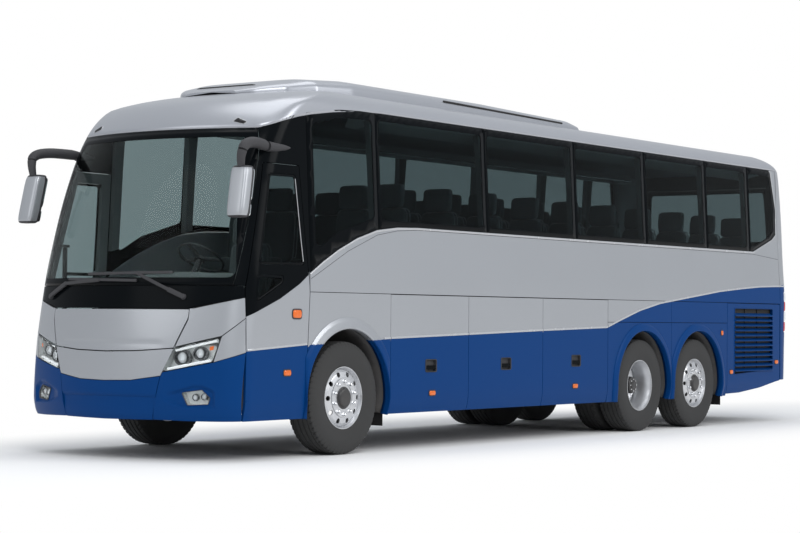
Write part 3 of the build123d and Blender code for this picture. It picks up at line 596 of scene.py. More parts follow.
def grain_effect():
    """Fine moulded or cast grain: mottled colour, uneven roughness and a bumpy normal."""
    name = "coach_grain_effect"
    if name in bpy.data.node_groups:
        return bpy.data.node_groups[name]
    tree, given, out = effect_tree(name, [
        ("Colour", "Color", (0.1, 0.1, 0.1, 1)), ("Roughness", "Float", 0.5), ("Scale", "Float", 300.0),
        ("Depth", "Float", 0.2), ("Mottle", "Float", 0.2), ("Dust", "Float", 0.1),
    ], [("Colour", "Color"), ("Roughness", "Float"), ("Normal", "Vector")])
    place = object_place(tree)
    fine, broad = noise_of(tree, place, given.outputs["Scale"], 2.0), noise_of(tree, place, 6.0, 4.0, 0.6)
    shade = maths_of(tree, "ADD", 1.0, centred(tree, broad, given.outputs["Mottle"]))
    varied = shaded(tree, given.outputs["Colour"], shade)
    dusty = maths_of(tree, "MULTIPLY", maths_of(tree, "MULTIPLY", broad, broad), given.outputs["Dust"],
                     clamp=True)
    plug(tree, out.inputs["Colour"], blend_of(tree, dusty, varied, (0.24, 0.21, 0.18, 1)))
    rough = maths_of(tree, "ADD", given.outputs["Roughness"], centred(tree, broad, 0.2), clamp=True)
    plug(tree, out.inputs["Roughness"], rough)
    bump = node_of(tree, "Bump", {"Height": fine, "Strength": given.outputs["Depth"], "Distance": 0.001})
    plug(tree, out.inputs["Normal"], bump.outputs["Normal"])
    return tree


def cloth_effect():
    """Woven cloth: two crossed threads give the height, with slubs in the colour."""
    name = "coach_cloth_effect"
    if name in bpy.data.node_groups:
        return bpy.data.node_groups[name]
    tree, given, out = effect_tree(name, [
        ("Colour", "Color", (0.1, 0.1, 0.1, 1)), ("Thread", "Float", 900.0), ("Depth", "Float", 0.4),
    ], [("Colour", "Color"), ("Normal", "Vector")])
    place = object_place(tree)
    parts = node_of(tree, "SeparateXYZ", {0: place}).outputs
    thread = given.outputs["Thread"]
    across = maths_of(tree, "SINE", maths_of(tree, "MULTIPLY", parts["X"], thread))
    up = maths_of(tree, "SINE", maths_of(tree, "MULTIPLY", maths_of(tree, "ADD", parts["Z"], parts["Y"]),
                                         thread))
    weave = maths_of(tree, "MULTIPLY", across, up)
    slub = noise_of(tree, place, 160.0, 3.0)
    shade = maths_of(tree, "ADD", 0.85, maths_of(tree, "MULTIPLY", slub, 0.3))
    plug(tree, out.inputs["Colour"], shaded(tree, given.outputs["Colour"], shade))
    bump = node_of(tree, "Bump", {"Height": weave, "Strength": given.outputs["Depth"], "Distance": 0.001})
    plug(tree, out.inputs["Normal"], bump.outputs["Normal"])
    return tree


def mixed_shader(tree, amount, first, second):
    """Two shaders mixed by an amount."""
    mix = tree.nodes.new("ShaderNodeMixShader")
    for socket, output in zip(mix.inputs, (amount, first.outputs[0], second.outputs[0])):
        tree.links.new(output, socket)
    return mix.outputs[0]


# --- Finishes -----------------------------------------------------------------------------------------------
def painted(fleck, dust, roughness, colour, **sockets):
    """Paint or glossy black: what paint_effect is given, and plain values of the shader's sockets."""
    return paint_effect, {"Fleck": fleck, "Dust": dust, "Roughness": roughness}, colour, sockets


def grained(roughness, scale, depth, mottle, dust, colour, **sockets):
    """Plastic, rubber or metal: what grain_effect is given, and plain values of the sockets."""
    values = {"Roughness": roughness, "Scale": scale, "Depth": depth, "Mottle": mottle, "Dust": dust}
    return grain_effect, values, colour, sockets


def woven(depth, colour, **sockets):
    """Seat cloth."""
    return cloth_effect, {"Thread": 1400.0, "Depth": depth}, colour, sockets


def clear(roughness, transmission, ior, colour):
    """Glass or a clear lens."""
    return None, {}, colour, {"roughness": roughness, "transmission_weight": transmission, "ior": ior}


FINISHES = {
    "silver_paint": painted(0.12, 0.1, 0.32, "silver", metallic=0.45, coat_weight=0.35, coat_roughness=0.1),
    "roof_paint": painted(0.12, 0.0, 0.3, "roof", metallic=0.5, coat_weight=0.25, coat_roughness=0.15),
    "blue_paint": painted(0.06, 0.0, 0.35, "blue", metallic=0.0, specular_ior_level=0.06),
    "black_gloss": painted(0.02, 0.0, 0.18, (0.003, 0.004, 0.005), specular_ior_level=0.04),
    "bright_moulding": grained(0.25, 400.0, 0.05, 0.05, 0.02, (0.46, 0.47, 0.49), metallic=0.3),
    "black_plastic": grained(0.42, 500.0, 0.2, 0.2, 0.01, (0.006, 0.006, 0.007), specular_ior_level=0.12),
    # next finish: painted shade, a near-black for seam gaps, slots, creases and the grille's depth
    "dark_gap": grained(0.8, 200.0, 0.2, 0.2, 0.1, (0.01, 0.01, 0.011)),
    "chassis_black": grained(0.6, 120.0, 0.3, 0.4, 0.3, (0.03, 0.03, 0.032)),
    "cast_iron": grained(0.65, 250.0, 0.5, 0.4, 0.3, (0.07, 0.07, 0.075), metallic=0.4),
    "tyre_rubber": grained(0.78, 350.0, 0.3, 0.35, 0.05, (0.010, 0.010, 0.011), specular_ior_level=0.2),
    "wheel_steel": grained(0.33, 500.0, 0.05, 0.12, 0.08, (0.62, 0.63, 0.65), metallic=0.75),
    "bright_metal": grained(0.18, 500.0, 0.03, 0.08, 0.03, (0.75, 0.76, 0.78), metallic=1.0),
    "window_glass": clear(0.02, 1.0, 1.1, "side_glass"),
    "screen_glass": clear(0.02, 1.0, 1.1, "screen_glass"),
    "lens_clear": clear(0.03, 1.0, 1.12, (0.93, 0.95, 0.96)),
    "lamp_bulb": clear(0.05, 0.6, 1.45, (0.9, 0.93, 0.95)),
    "light_guide": grained(0.3, 300.0, 0.02, 0.02, 0.0, (0.85, 0.87, 0.88), emission_strength=0.25),
    "amber_lens": grained(0.25, 260.0, 0.2, 0.15, 0.0, (0.72, 0.13, 0.004), coat_weight=0.3),
    "red_lens": grained(0.2, 260.0, 0.2, 0.15, 0.02, (0.55, 0.012, 0.012), coat_weight=0.8),
    "white_lens": grained(0.2, 260.0, 0.2, 0.1, 0.02, (0.75, 0.76, 0.78), coat_weight=0.8),
    "cabin_trim": grained(0.6, 300.0, 0.15, 0.1, 0.02, (0.45, 0.47, 0.48)),
    "cabin_grey": grained(0.65, 300.0, 0.2, 0.15, 0.04, (0.16, 0.17, 0.175)),
    "floor_covering": grained(0.7, 200.0, 0.2, 0.2, 0.15, (0.13, 0.13, 0.14)),
    "seat_cloth": woven(0.4, "seats", roughness=0.85, sheen_weight=0.3),
    "seat_piping": woven(0.3, (0.3, 0.32, 0.33), roughness=0.7),
    "lamp_reflector": grained(0.3, 300.0, 0.03, 0.08, 0.0, (0.55, 0.57, 0.57), metallic=0.4),
    "lamp_bezel": grained(0.3, 400.0, 0.05, 0.1, 0.0, (0.09, 0.095, 0.10), metallic=0.4),
    "lamp_dark": grained(0.25, 260.0, 0.1, 0.1, 0.0, (0.01, 0.01, 0.012), specular_ior_level=0.3),
    "mirror_glass": grained(0.03, 100.0, 0.0, 0.02, 0.0, (0.75, 0.78, 0.80), metallic=1.0),
    "hub_black": grained(0.4, 300.0, 0.2, 0.3, 0.2, (0.02, 0.02, 0.022)),
    "rubber_sheet": grained(0.75, 250.0, 0.2, 0.3, 0.04, (0.015, 0.015, 0.016), specular_ior_level=0.3),
}


def material_of(name):
    """The named finish: plain values on the shader, and a shared effect for what varies over it."""
    if name in bpy.data.materials:
        return bpy.data.materials[name]
    effect, values, colour, sockets = FINISHES[name]
    material = bpy.data.materials.new(name)
    material.use_nodes = True
    tree = material.node_tree
    shader = tree.nodes["Principled BSDF"]
    if isinstance(colour, str):
        colour = getattr(bpy.context.scene.coach_colours, colour)
    colour = (*colour, 1)
    for key, value in sockets.items():
        shader.inputs[key.replace("_", " ").title().replace("Ior", "IOR")].default_value = value
    shader.inputs["Base Color"].default_value = colour
    if "emission_strength" in sockets:
        shader.inputs["Emission Color"].default_value = colour
    if effect:
        node = tree.nodes.new("ShaderNodeGroup")
        node.node_tree = effect()
        node.inputs["Colour"].default_value = colour
        for key, value in values.items():
            node.inputs[key].default_value = value
        for output, socket in (("Colour", "Base Color"), ("Roughness", "Roughness"), ("Normal", "Normal")):
            if output in node.outputs:
                tree.links.new(node.outputs[output], shader.inputs[socket])
    return material


# --- Panel lines: (station, height) for the sides, (x, height) for the ends ---------------------------------
SCREEN_EDGE = ((-1.524, 1.530), (-1.088, 2.940))
GLAZING_TOP = ((-1.088, 2.940), (-0.926, 3.016), (-0.784, 3.063), (-0.639, 3.098), (-0.344, 3.151),
               (-0.041, 3.186), (0.270, 3.200))
SILL = ((-1.480, 1.251), (-1.263, 1.330), (-1.013, 1.421), (-0.730, 1.559), (-0.571, 1.661), (-0.365, 1.774),
        (-0.141, 1.882), (0.166, 2.003), (0.482, 2.090), (0.807, 2.127), (1.141, 2.138), (8.530, 2.140))
GLAZING_REAR = ((8.530, 2.140), (9.080, 2.308), (9.195, 2.376), (9.222, 2.700), (9.110, 3.185),
                (9.080, 3.197))
COLOUR_LINE = ((-1.516, 0.957), (-0.590, 1.013), (0.659, 1.064), (1.997, 1.101), (3.411, 1.141),
               (4.789, 1.175), (5.080, 1.254), (5.541, 1.370), (6.018, 1.455), (6.510, 1.508), (7.020, 1.562),
               (7.547, 1.618), (8.093, 1.658), (8.658, 1.693), (9.244, 1.709))
POSTS = (-0.560, 0.500, 2.380, 4.160, 5.740, 7.260, 8.420)
BAYS = (0.670, 2.010, 3.430, 4.810)
DOOR_FRONT = ((-1.475, SKIRT), (-1.445, 1.500), (-1.147, 2.620))
DRIVER_DOOR = (*DOOR_FRONT, (-0.690, 2.620), (-0.585, BELT), (-0.645, SKIRT))
DRIVER_PANES = (((-1.300, 1.722), (-1.110, 2.533), (-0.740, 2.538), (-0.655, 1.728)),
                ((-1.345, 1.385), (-1.325, 1.630), (-0.950, 1.630), (-0.975, 1.560)))
PASSENGER_DOOR = (*DOOR_FRONT, (-0.640, 2.620), (-0.640, SKIRT))
PASSENGER_PANE = ((-1.370, 0.760), (-1.350, 1.560), (-1.095, 2.520), (-0.750, 2.520), (-0.750, 0.760))
ENGINE_DOOR = ((7.750, 0.374), (8.105, 0.381), (8.670, 0.431), (9.100, 0.496), (9.235, 0.512), (9.235, 1.484),
               (7.750, 1.484))
FOG_LAMP = ((0.790, 0.603), (0.965, 0.628), (1.035, 0.560), (1.020, 0.500), (0.845, 0.488))
ENGINE_LID = ((-0.860, 0.640), (0.860, 0.640), (0.860, 1.430), (-0.860, 1.430))
REAR_WINDOW = ((-0.930, 2.250), (0.930, 2.250), (0.880, 3.010), (-0.880, 3.010))
TAIL_LAMP = ((1.040, 1.130), (1.2445, 1.130), (1.2405, 1.650), (1.040, 1.650))
ARCHES = ((0.0, 0.635, 0.745, 0.640, 0.655), (DRIVE, 0.620, 0.708, 0.790, 0.664),
          (TAG, 0.620, 0.708, 0.665, 0.745))
SILVER, BLUE, BLACK = 0, 1, 2
BODY_PAINTS = ("silver_paint", "blue_paint", "black_gloss")


def on_line(line, station):
    line = np.asarray(line)
    return np.interp(station, line[:, 0], line[:, 1])


def station_of(around, level, end=FRONT):
    return skin(around, level, end)[..., 1] - FRONT_AXLE


def side_paint(around, level):
    """Black above the window sill, silver down to the colour line, blue below it."""
    station = station_of(np.abs(around), level)
    above = (level > on_line(SILL, station)) & (station < 8.53)
    return np.where(above, BLACK, np.where(level > on_line(COLOUR_LINE, station), SILVER, BLUE))


def line_points(line, first, last):
    """The part of a (station, height) line between two stations, with points at both ends."""
    line = np.asarray(line)
    inside = line[(line[:, 0] > first + 1e-4) & (line[:, 0] < last - 1e-4)]
    return np.vstack([[(first, on_line(line, first))], inside, [(last, on_line(line, last))]])


def line_between(line, first, last, step=0.05):
    """The part of a (station, height) line between two stations, as an open run on the surface."""
    return side_run(line_points(line, first, last), step)


def arch_panel(first, last, bottom, top, arch, front_edge=None):
    """A lower side panel with its wheel arch cut away, as a (station, height) outline."""
    station, radius = arch[:2]
    low, high = front_edge or ((first, bottom), (first, top))
    start = np.arcsin((bottom - AXLE_HEIGHT) / radius)
    turn = np.linspace(start, pi - start, 60)
    curve = np.stack([station + radius * np.cos(turn), AXLE_HEIGHT + radius * np.sin(turn)], 1)
    return np.vstack([[high, low], curve[::-1], [(last, bottom), (last, top)]])


# --- Sizes and colours a user would change ------------------------------------------------------------------
def length(name, description, default):
    return bpy.props.FloatProperty(name=name, description=description, default=default, unit="LENGTH")


def tint(name, description, default):
    return bpy.props.FloatVectorProperty(name=name, description=description, default=default,
                                         subtype="COLOR", size=3)


class CoachSizes(bpy.types.PropertyGroup):
    """Sizes of the trim that the solids leave open."""
    moulding: length("Moulding width", "Width of the bright mouldings on the sides", 0.022)
    panel_edge: length("Panel edge", "Rounding of the panels' edges", 0.002)
    tread_depth: length("Tread depth", "Depth of the grooves in the tyres", 0.013)
    glass: length("Glass thickness", "Thickness of the side glazing", 0.006)

class CoachColours(bpy.types.PropertyGroup):
    """Colours of the coach's finishes."""
    silver: tint("Upper paint", "Silver-grey of the side and front panels", (0.36, 0.375, 0.40))
    roof: tint("Roof paint", "Silver of the roof and its pod", (0.38, 0.395, 0.43))
    blue: tint("Lower paint", "Blue of the lower panels", (0.002, 0.040, 0.165))
    side_glass: tint("Side glass", "Tint of the side windows", (0.22, 0.27, 0.28))
    screen_glass: tint("Windscreen", "Tint of the windscreen", (0.62, 0.70, 0.70))
    seats: tint("Seat cloth", "Colour of the seats' cloth", (0.075, 0.085, 0.092))


class CoachOperator:
    """What the operators share: they can be undone."""
    bl_options = {"REGISTER", "UNDO"}


# --- Body panels --------------------------------------------------------------------------------------------
class COACH_OT_side_panels(CoachOperator, bpy.types.Operator):
    """Fixed side panels with their seams, black corner pillars and backing"""
    bl_idname = "coach.side_panels"
    bl_label = "Side panels"

    def execute(self, context):
        gap = SEAM
        rear_edge = ((-0.639 + gap, SKIRT), (-0.579 + gap, BELT - gap))
        sill = np.array(SILL)
        sill = sill[sill[:, 0] > -0.55]
        for side, name, door_rear in ((1, "left", rear_edge),
                                      (-1, "right", ((-0.634 + gap, SKIRT), (-0.634 + gap, BELT - gap)))):
            first = door_rear[1][0]
            belt = np.vstack([[(first, BELT + gap), (9.247, BELT + gap), (9.247, 3.200)],
                              np.array(GLAZING_REAR)[::-1] + (0.003, 0), sill[::-1][1:] - (0, 0.002),
                              [(first, on_line(SILL, first) - 0.002)]])
            over = 1.240                # seam above the rear wheel arches
            first_arch, drive_arch, tag_arch = ARCHES
            outlines = [side_outline(corners) for corners in (
                belt,
                arch_panel(door_rear[0][0], 0.670 - gap, SKIRT, BELT - gap, first_arch, door_rear),
                arch_panel(4.810 + gap, 6.303 - gap, SKIRT, over - gap, drive_arch),
                arch_panel(6.303 + gap, 7.744 - gap, SKIRT, over - gap, tag_arch),
                rectangle(4.810 + gap, over + gap, 6.303 - gap, BELT - gap),
                rectangle(6.303 + gap, over + gap, 7.744 - gap, BELT - gap),
            )]
            lines = [line_between(COLOUR_LINE, -0.575, 0.664), line_between(COLOUR_LINE, 4.8145, 5.020),
                     line_between(COLOUR_LINE, 5.045, 6.150), line_between(COLOUR_LINE, 6.340, 9.240)]
            shell = panel(outlines, lines=lines, kind=side_paint, step=0.10, fine=(0.0, 0.2, 0.05))
            door_side = DRIVER_DOOR if side > 0 else PASSENGER_DOOR
            top = [p for p in GLAZING_TOP if p[0] < -0.6]
            low = 1.672 if side > 0 else BELT + 0.004
            pillar = [(-1.521, 1.534), *[(x, z - 0.002) for x, z in top], (-0.567, 3.107), (-0.567, low)]
            edge = np.interp(low, (BELT, 2.620), (door_side[4][0], -0.690)) if side > 0 else -0.640
            pillar += [(edge + 0.006, low), (door_side[3][0] + 0.006, 2.626), (-1.151, 2.626),
                       (-1.4425, 1.534)]
            corner = panel([side_outline(pillar)], kind=BLACK, fine=(1.0, 1.9, 0.045))
            if side < 0:
                patch = [(-0.631, BELT + gap), (first - 0.001, BELT + gap), (first - 0.001, 1.670),
                         (-0.631, 1.640)]
                shell = joined(shell, panel([side_outline(patch)], kind=side_paint))
            mesh = joined(shell, corner)
            if side < 0:
                mesh = mirrored(mesh)
            body_panel(f"{name}_side_panels", mesh, "coach_body", replaces=f"{name}_side")
        return {"FINISHED"}


class COACH_OT_seam_backing(CoachOperator, bpy.types.Operator):
    """Dark strips behind the seams as painted shade in the gaps, window posts and wheel housings"""
    bl_idname = "coach.seam_backing"
    bl_label = "Seam backing and wheel housings"

    def execute(self, context):
        back = rectangle(-0.02, -0.045, 0.02, -0.034)
        runs = [side_run([(0.72, BELT), (9.24, BELT)]), side_run([(-0.57, BELT), (0.72, BELT)])]
        runs += [side_run([(s, 0.40), (s, 1.47)]) for s in (*BAYS, 6.303, 7.747)]
        runs += [side_run([(4.83, 1.240), (7.72, 1.240)])]
        # near-black strips behind the seams: painted shade, so that each gap reads dark
        seams = both(joined(*[strip(run, back) for run in runs]))
        piece("seam_backing", seams, "dark_gap", "coach_body")
        posts = []
        for station in POSTS:
            run = side_run([(station, 2.12 if station > 0.4 else 1.90), (station, 3.16)])
            posts.append(strip(run, rectangle(-0.05, -0.075, 0.05, -0.012)))
        piece("window_posts", both(joined(*posts)), "cabin_grey", "coach_body", bevel=0.006)
        houses = []
        for station, radius, *_ in ARCHES:
            turn = np.linspace(radians(-14), radians(194), 44)
            reach = radius + 0.012
            inner = 0.56 if station != DRIVE else 0.50
            x = np.array([1.196, 1.0, inner, inner])
            r = np.array([reach, reach, reach, 0.20])
            rings = np.stack([np.broadcast_to(x, (44, 4)),
                              FRONT_AXLE + station + np.cos(turn)[:, None] * r,
                              AXLE_HEIGHT + np.sin(turn)[:, None] * r], -1)
            houses.append(sheet(rings, flip=True))
        piece("wheel_housings", both(joined(*houses)), "chassis_black", "coach_body", wall=-0.004)
        return {"FINISHED"}


class COACH_OT_wheel_flares(CoachOperator, bpy.types.Operator):
    """Raised lips round the wheel arches"""
    bl_idname = "coach.wheel_flares"
    bl_label = "Wheel arch flares"

    def execute(self, context):
        rings = []
        for station, radius, reach, ahead, behind in ARCHES:
            turn = np.linspace(radians(-15.6), radians(195.6), 240)
            limit = np.where(np.cos(turn) > 0, behind, ahead) / np.maximum(np.abs(np.cos(turn)), 1e-3)
            outer = np.maximum(np.minimum(reach, limit), radius + 0.004)
            part = np.concatenate([[0.0, 0.0, 0.05], np.linspace(0.16, 0.98, 14), [1.0]])
            proud = np.interp(part, (0, 0.05, 0.16, 0.70, 0.98, 1.0),
                              (0.018, 0.025, 0.027, 0.017, 0.004, -0.020))
            proud[0] = -0.055
            r = radius + part * (outer[:, None] - radius)
            spot_station = station + np.cos(turn)[:, None] * r
            spot_level = AXLE_HEIGHT + np.sin(turn)[:, None] * r
            around = around_from_station(spot_station, spot_level)
            points = skin(around, spot_level) + outward(around, spot_level) * proud[:, None]
            mesh = sheet(points)
            level = points[mesh[1] // len(part), mesh[1] % len(part), 2].mean(1)
            where = points[mesh[1] // len(part), mesh[1] % len(part), 1].mean(1) - FRONT_AXLE
            kinds = np.where(level > on_line(COLOUR_LINE, where), SILVER, BLUE)
            rings.append((mesh[0], mesh[1], kinds))
        piece("wheel_flares", both(joined(*rings)), BODY_PAINTS, "coach_body", wall=0.004)
        return {"FINISHED"}


class COACH_OT_side_glazing(CoachOperator, bpy.types.Operator):
    """Bonded side windows with black borders and tinted middles, and the rear window"""
    bl_idname = "coach.side_glazing"
    bl_label = "Side glazing"

    def execute(self, context):
        sizes = context.scene.coach_sizes
        gap = 0.0025
        edges = [-0.5645, *POSTS[1:], 9.30]
        top = np.array(GLAZING_TOP)
        top = np.vstack([[(-0.564, 3.111)], top[top[:, 0] > -0.5], [(9.080, 3.198)]])
        outlines, clear = [], []
        for first, last in zip(edges, edges[1:]):
            a, b = first + gap, last - gap
            if last < 9:
                low = line_points(SILL, a, b)
                high = line_points(top, a, b)[::-1]
                outlines.append(side_outline(np.vstack([low + (0, 0.001), high - (0, 0.002)])))
            else:
                low = line_points(SILL, a, 8.530)
                rear = np.array(GLAZING_REAR)[1:]
                outlines.append(side_outline(np.vstack([low + (0, 0.001), rear, [(a, 3.197)]])))
        a = 0.055
        clear.append(rounded([(-0.470, 1.915), (-0.400, 1.905), (-0.130, 2.045), (0.500 - a, 2.205),
                              (0.500 - a, 3.120), (-0.060, 3.110), (-0.470, 3.020)], 0.06))
        for first, last in zip(POSTS[1:], POSTS[2:]):
            clear.append(rounded(rectangle(first + a, 2.190, last - a, 3.130), 0.05))
        clear.append(rounded([(8.420 + a, 2.200), (8.560, 2.205), (9.020, 2.350), (9.130, 2.430),
                              (9.155, 2.700), (9.070, 3.120), (8.420 + a, 3.120)], 0.05))
        panes = glazed(outlines, [side_outline(line) for line in clear], step=0.12, fine=(0.0, 0.5, 0.06))
        rear_clear = end_outline(rounded(moved_in(REAR_WINDOW, 0.06), 0.05), end=REAR)
        rear = glazed([end_outline(REAR_WINDOW, end=REAR)], [rear_clear], end=REAR, fine=(-1.3, 1.3, 0.06))
        piece("side_glazing", joined(both(panes), rear), ("black_gloss", "window_glass"), "coach_body",
              replaces="side_windows", wall=sizes.glass)
        return {"FINISHED"}


def bar(width, height, sink=-0.004):
    """Section of a moulding: a flattened half round, as (across, off the surface)."""
    turn = np.linspace(0, pi, 7)
    arc = np.stack([np.cos(turn) * width / 2, np.sin(turn) * height], 1)
    return np.vstack([[(width / 2, sink)], arc, [(-width / 2, sink)]])


class COACH_OT_mouldings(CoachOperator, bpy.types.Operator):
    """Bright mouldings along the window sill and the colour line, and a line of painted shade along the body
    crease
    """
    bl_idname = "coach.mouldings"
    bl_label = "Bright mouldings"

    def execute(self, context):
        sizes = context.scene.coach_sizes
        width = sizes.moulding
        runs = []
        runs.append(strip(line_between(SILL, -0.575, 8.530, 0.06) - (0, 0.012), bar(width, 0.006)))
        rear = side_run(np.array([(8.530, 2.128), *[(x + 0.008, z - 0.006) for x, z in GLAZING_REAR[1:]]]))
        runs.append(strip(rear, bar(0.014, 0.005)))
        for first, last in ((0.560, 0.664), (4.816, 6.300), (6.306, 7.741), (7.75, 9.243)):
            run = line_between(COLOUR_LINE, first, last, 0.06) + MOULDING_RISE
            runs.append(strip(run, bar(width, 0.006)))
        # a near-black strip along the body crease: a line of painted shade where the surface turns from the
        # light
        crease = line_between(((-0.57, 1.607), (0.013, 1.877), (0.483, 2.043), (0.807, 2.094), (1.142, 2.114),
                               (8.53, 2.108), (9.243, 2.060)), -0.570, 9.240, 0.06)
        piece("mouldings", both(joined(*runs)), "bright_moulding", "coach_body")
        piece("body_crease_shade_line", both(strip(crease, rectangle(-0.002, -0.002, 0.002, 0.0008))),
              "dark_gap", "coach_body")
        return {"FINISHED"}


# --- Front --------------------------------------------------------------------------------------------------
def door_seam(height):
    """Station of the front door's leading seam at a height."""
    line = np.array(DOOR_FRONT)
    return np.interp(height, line[:, 1], line[:, 0])


def seam_point(height, shift=-0.006):
    """A point of the door's leading seam as (distance along the surface, height)."""
    station = door_seam(height) + shift
    return float(around_from_station(station, height)), height


def from_x(x, height):
    return float(around_from_x(x, height)), height


def mask(points, step=0.04, closed=True, shift=-0.006):
    """A front outline from (x, height) points; a plain number is the height of a point on the door's seam."""
    spots = [from_x(*p) if isinstance(p, tuple) else seam_point(p, shift) for p in points]
    return dense(spots, step, closed)


def whole_face(*runs):
    """A symmetrical outline from the open runs of its left half, which starts and ends in the middle."""
    half = np.vstack([*[run[:-1] for run in runs], runs[-1][-1:]])
    return np.vstack([half[:-1], (half * (-1, 1))[::-1][:-1]])


class COACH_OT_windscreen(CoachOperator, bpy.types.Operator):
    """Raked windscreen with its black printed border and header band"""
    bl_idname = "coach.windscreen"
    bl_label = "Windscreen"

    def execute(self, context):
        edge = line_points([(z, s) for s, z in SCREEN_EDGE], 1.533, 2.938)
        left = side_run([(s - 0.003, z) for z, s in edge], 0.05)
        right = left[::-1] * (-1, 1)
        outline = np.vstack([left, end_run(np.array([(1.0, 2.938), (-1.0, 2.938)]), 0.06)[1:-1],
                             right, end_run(np.array([(-1.1, 1.533), (1.1, 1.533)]), 0.06)[1:-1]])
        lower = rounded([(-1.150, 1.600), (1.150, 1.600), (0.985, 2.860), (-0.985, 2.860)], 0.07, 7)
        clear = end_outline(lower, 0.05)

        glass = glazed([outline], [clear], step=0.06, fine=(-1.6, 1.6, 0.045))
        piece("windscreen_glass", glass, ("black_gloss", "screen_glass"), "coach_body", replaces="windscreen",
              wall=0.007)
        return {"FINISHED"}


class COACH_OT_front_mask(CoachOperator, bpy.types.Operator):
    """Front panels round the lamps: silver sides, blue bumper, black band under the screen"""
    bl_idname = "coach.front_mask"
    bl_label = "Front panels"

    def execute(self, context):
        band = [seam_point(1.430), seam_point(1.500), (float(around_from_station(-1.459, 1.527)), 1.527)]
        upper = dense([*band, (0.0, 1.527)], 0.05, closed=False)
        lower = mask([(0.0, 1.331), (0.806, 1.331), (0.838, 1.345), 1.430], 0.05, closed=False)
        band_loop = np.vstack([upper, upper[::-1][1:] * (-1, 1), (lower * (-1, 1))[::-1], lower[1:-1]])
        silver_side = mask([(0.842, 1.328), (0.809, 1.328), (0.809, 1.229), (0.713, 0.986), (0.703, 0.994),
                            (1.100, 1.095), 1.250, 1.424])
        outer_low = mask([(1.104, 1.088), (1.054, 0.868), 0.952, 1.243])
        bumper = mask([(1.050, 0.862), (0.613, 0.772), (0.600, 0.740), (0.520, 0.360), (0.900, SKIRT),
                       SKIRT, 0.946])
        centre = whole_face(mask([(0.0, 0.690), (0.30, 0.697), (0.594, 0.738), (0.514, 0.358)], closed=False),
                            mask([(0.514, 0.358), (0.0, SKIRT)], 0.05, closed=False))
        silver_low = whole_face(mask([(0.0, 0.945), (0.360, 0.953), (0.711, 0.980)], closed=False),
                                mask([(0.703, 0.976), (0.607, 0.770), (0.594, 0.744), (0.300, 0.703),
                                      (0.0, 0.696)], closed=False))
        fog = end_outline(rounded(FOG_LAMP, 0.012), 0.04)

        def shape(_, level):
            """A ledge across the bumper, below which it lies further in, and a roll under its lower edge."""
            ledge = -0.015 * unit((0.572 - level) / 0.014) * unit((level - 0.40) / 0.10)
            return ledge - 0.012 * unit((0.41 - level) / 0.06) ** 2

        def side_shape(around, level):
            """The fin that runs inwards from under the fog lamp, and the roll under the lower edge."""
            run = np.abs(around)
            top = 0.590 + 0.075 * unit((run - 0.66) / 0.25) - 0.05 * unit((run - 1.0) / 0.12)
            low = 0.520 - 0.050 * unit((run - 0.64) / 0.2)
            hollow = -0.024 * unit((level - low) / 0.014) * unit((top - level) / 0.022)
            inner_end, outer_end = unit((run - 0.640) / 0.10), unit((1.115 - run) / 0.03)
            return hollow * inner_end * outer_end - 0.012 * unit((0.41 - level) / 0.06) ** 2

        meshes = [
            panel([band_loop], kind=BLACK, step=0.06, fine=(-1.7, 1.7, 0.05)),
            both(panel([silver_side, outer_low], kind=SILVER, step=0.06, fine=(0.0, 1.7, 0.045))),
            both(panel([bumper], [fog], kind=BLUE, step=0.012, relief=side_shape, fine=(0.0, 1.7, 0.016))),
            panel([centre], kind=BLUE, step=0.014, relief=shape, fine=(-0.7, 0.7, 0.04)),
            panel([silver_low], kind=SILVER, step=0.05, fine=(-0.8, 0.8, 0.05)),
        ]
        body_panel("front_panels", joined(*meshes), "coach_body", replaces="front_mask", wall=0.022)
        # near-black strips behind the front seams: painted shade, so that each gap reads dark
        back = rectangle(-0.02, -0.036, 0.02, -0.026)
        seams = [mask(run, closed=False, shift=0.0) for run in (
            [(0.842, 1.328), 1.424], [(1.100, 1.091), 1.247], [(1.052, 0.865), 0.949],
            [(0.609, 0.772), (0.517, 0.358)], [(0.0, 1.530), (1.15, 1.530)],
        )]
        middle = mask([(-0.60, 0.741), (-0.30, 0.700), (0.0, 0.693), (0.30, 0.700), (0.60, 0.741)],
                      closed=False)
        piece("front_seams", joined(both(joined(*[strip(s, back) for s in seams])), strip(middle, back)),
              "dark_gap", "coach_body")
        return {"FINISHED"}


class COACH_OT_front_flap(CoachOperator, bpy.types.Operator):
    """The silver flap between the headlamps"""
    bl_idname = "coach.front_flap"
    bl_label = "Front flap"

    def execute(self, context):
        half = np.array([(0.0, 0.955), (0.360, 0.963), (0.700, 0.989), (0.797, 1.232), (0.803, 1.260),
                         (0.803, 1.320)])
        outline = np.vstack([half, (half * (-1, 1))[::-1][:-1]])

        def dish(around, level):
            """A shallow pressing that runs along the lower edge."""
            return -0.004 * np.exp(-((level - 1.020) / 0.018) ** 2) * unit((0.62 - np.abs(around)) / 0.06)

        flap = panel([end_outline(outline, 0.04)], kind=0, step=0.02, fine=(-0.9, 0.9, 0.04), relief=dish)
        body_panel("front_flap_panel", flap, "front_flap", replaces="front_flap",
                   wall=0.018)
        return {"FINISHED"}


def shape_at(outline, depth, end=FRONT):
    """The outline's points as a ring set in by depth along the outward normal."""
    return skin(outline[:, 0], outline[:, 1], end) - outward(outline[:, 0], outline[:, 1], end) * depth


def scaled(outline, factor):
    """The outline made larger or smaller about its middle."""
    middle = outline.mean(0)
    return middle + (outline - middle) * factor


def dome(outline, profile, kind=0, end=FRONT):
    """A lens over an outline: rings given as (size, depth) that draw in and rise."""
    rings = [shape_at(scaled(outline, size), depth, end) for size, depth in profile]
    return sheet(np.stack(rings), kind, wrap_columns=True, flip=True)


def bezel(rings, kind=0):
    """A closed band of moulding through rings given as (outline, depth)."""
    points = np.stack([shape_at(outline, depth) for outline, depth in rings])
    return sheet(points, kind, wrap_rows=True, wrap_columns=True, flip=True)


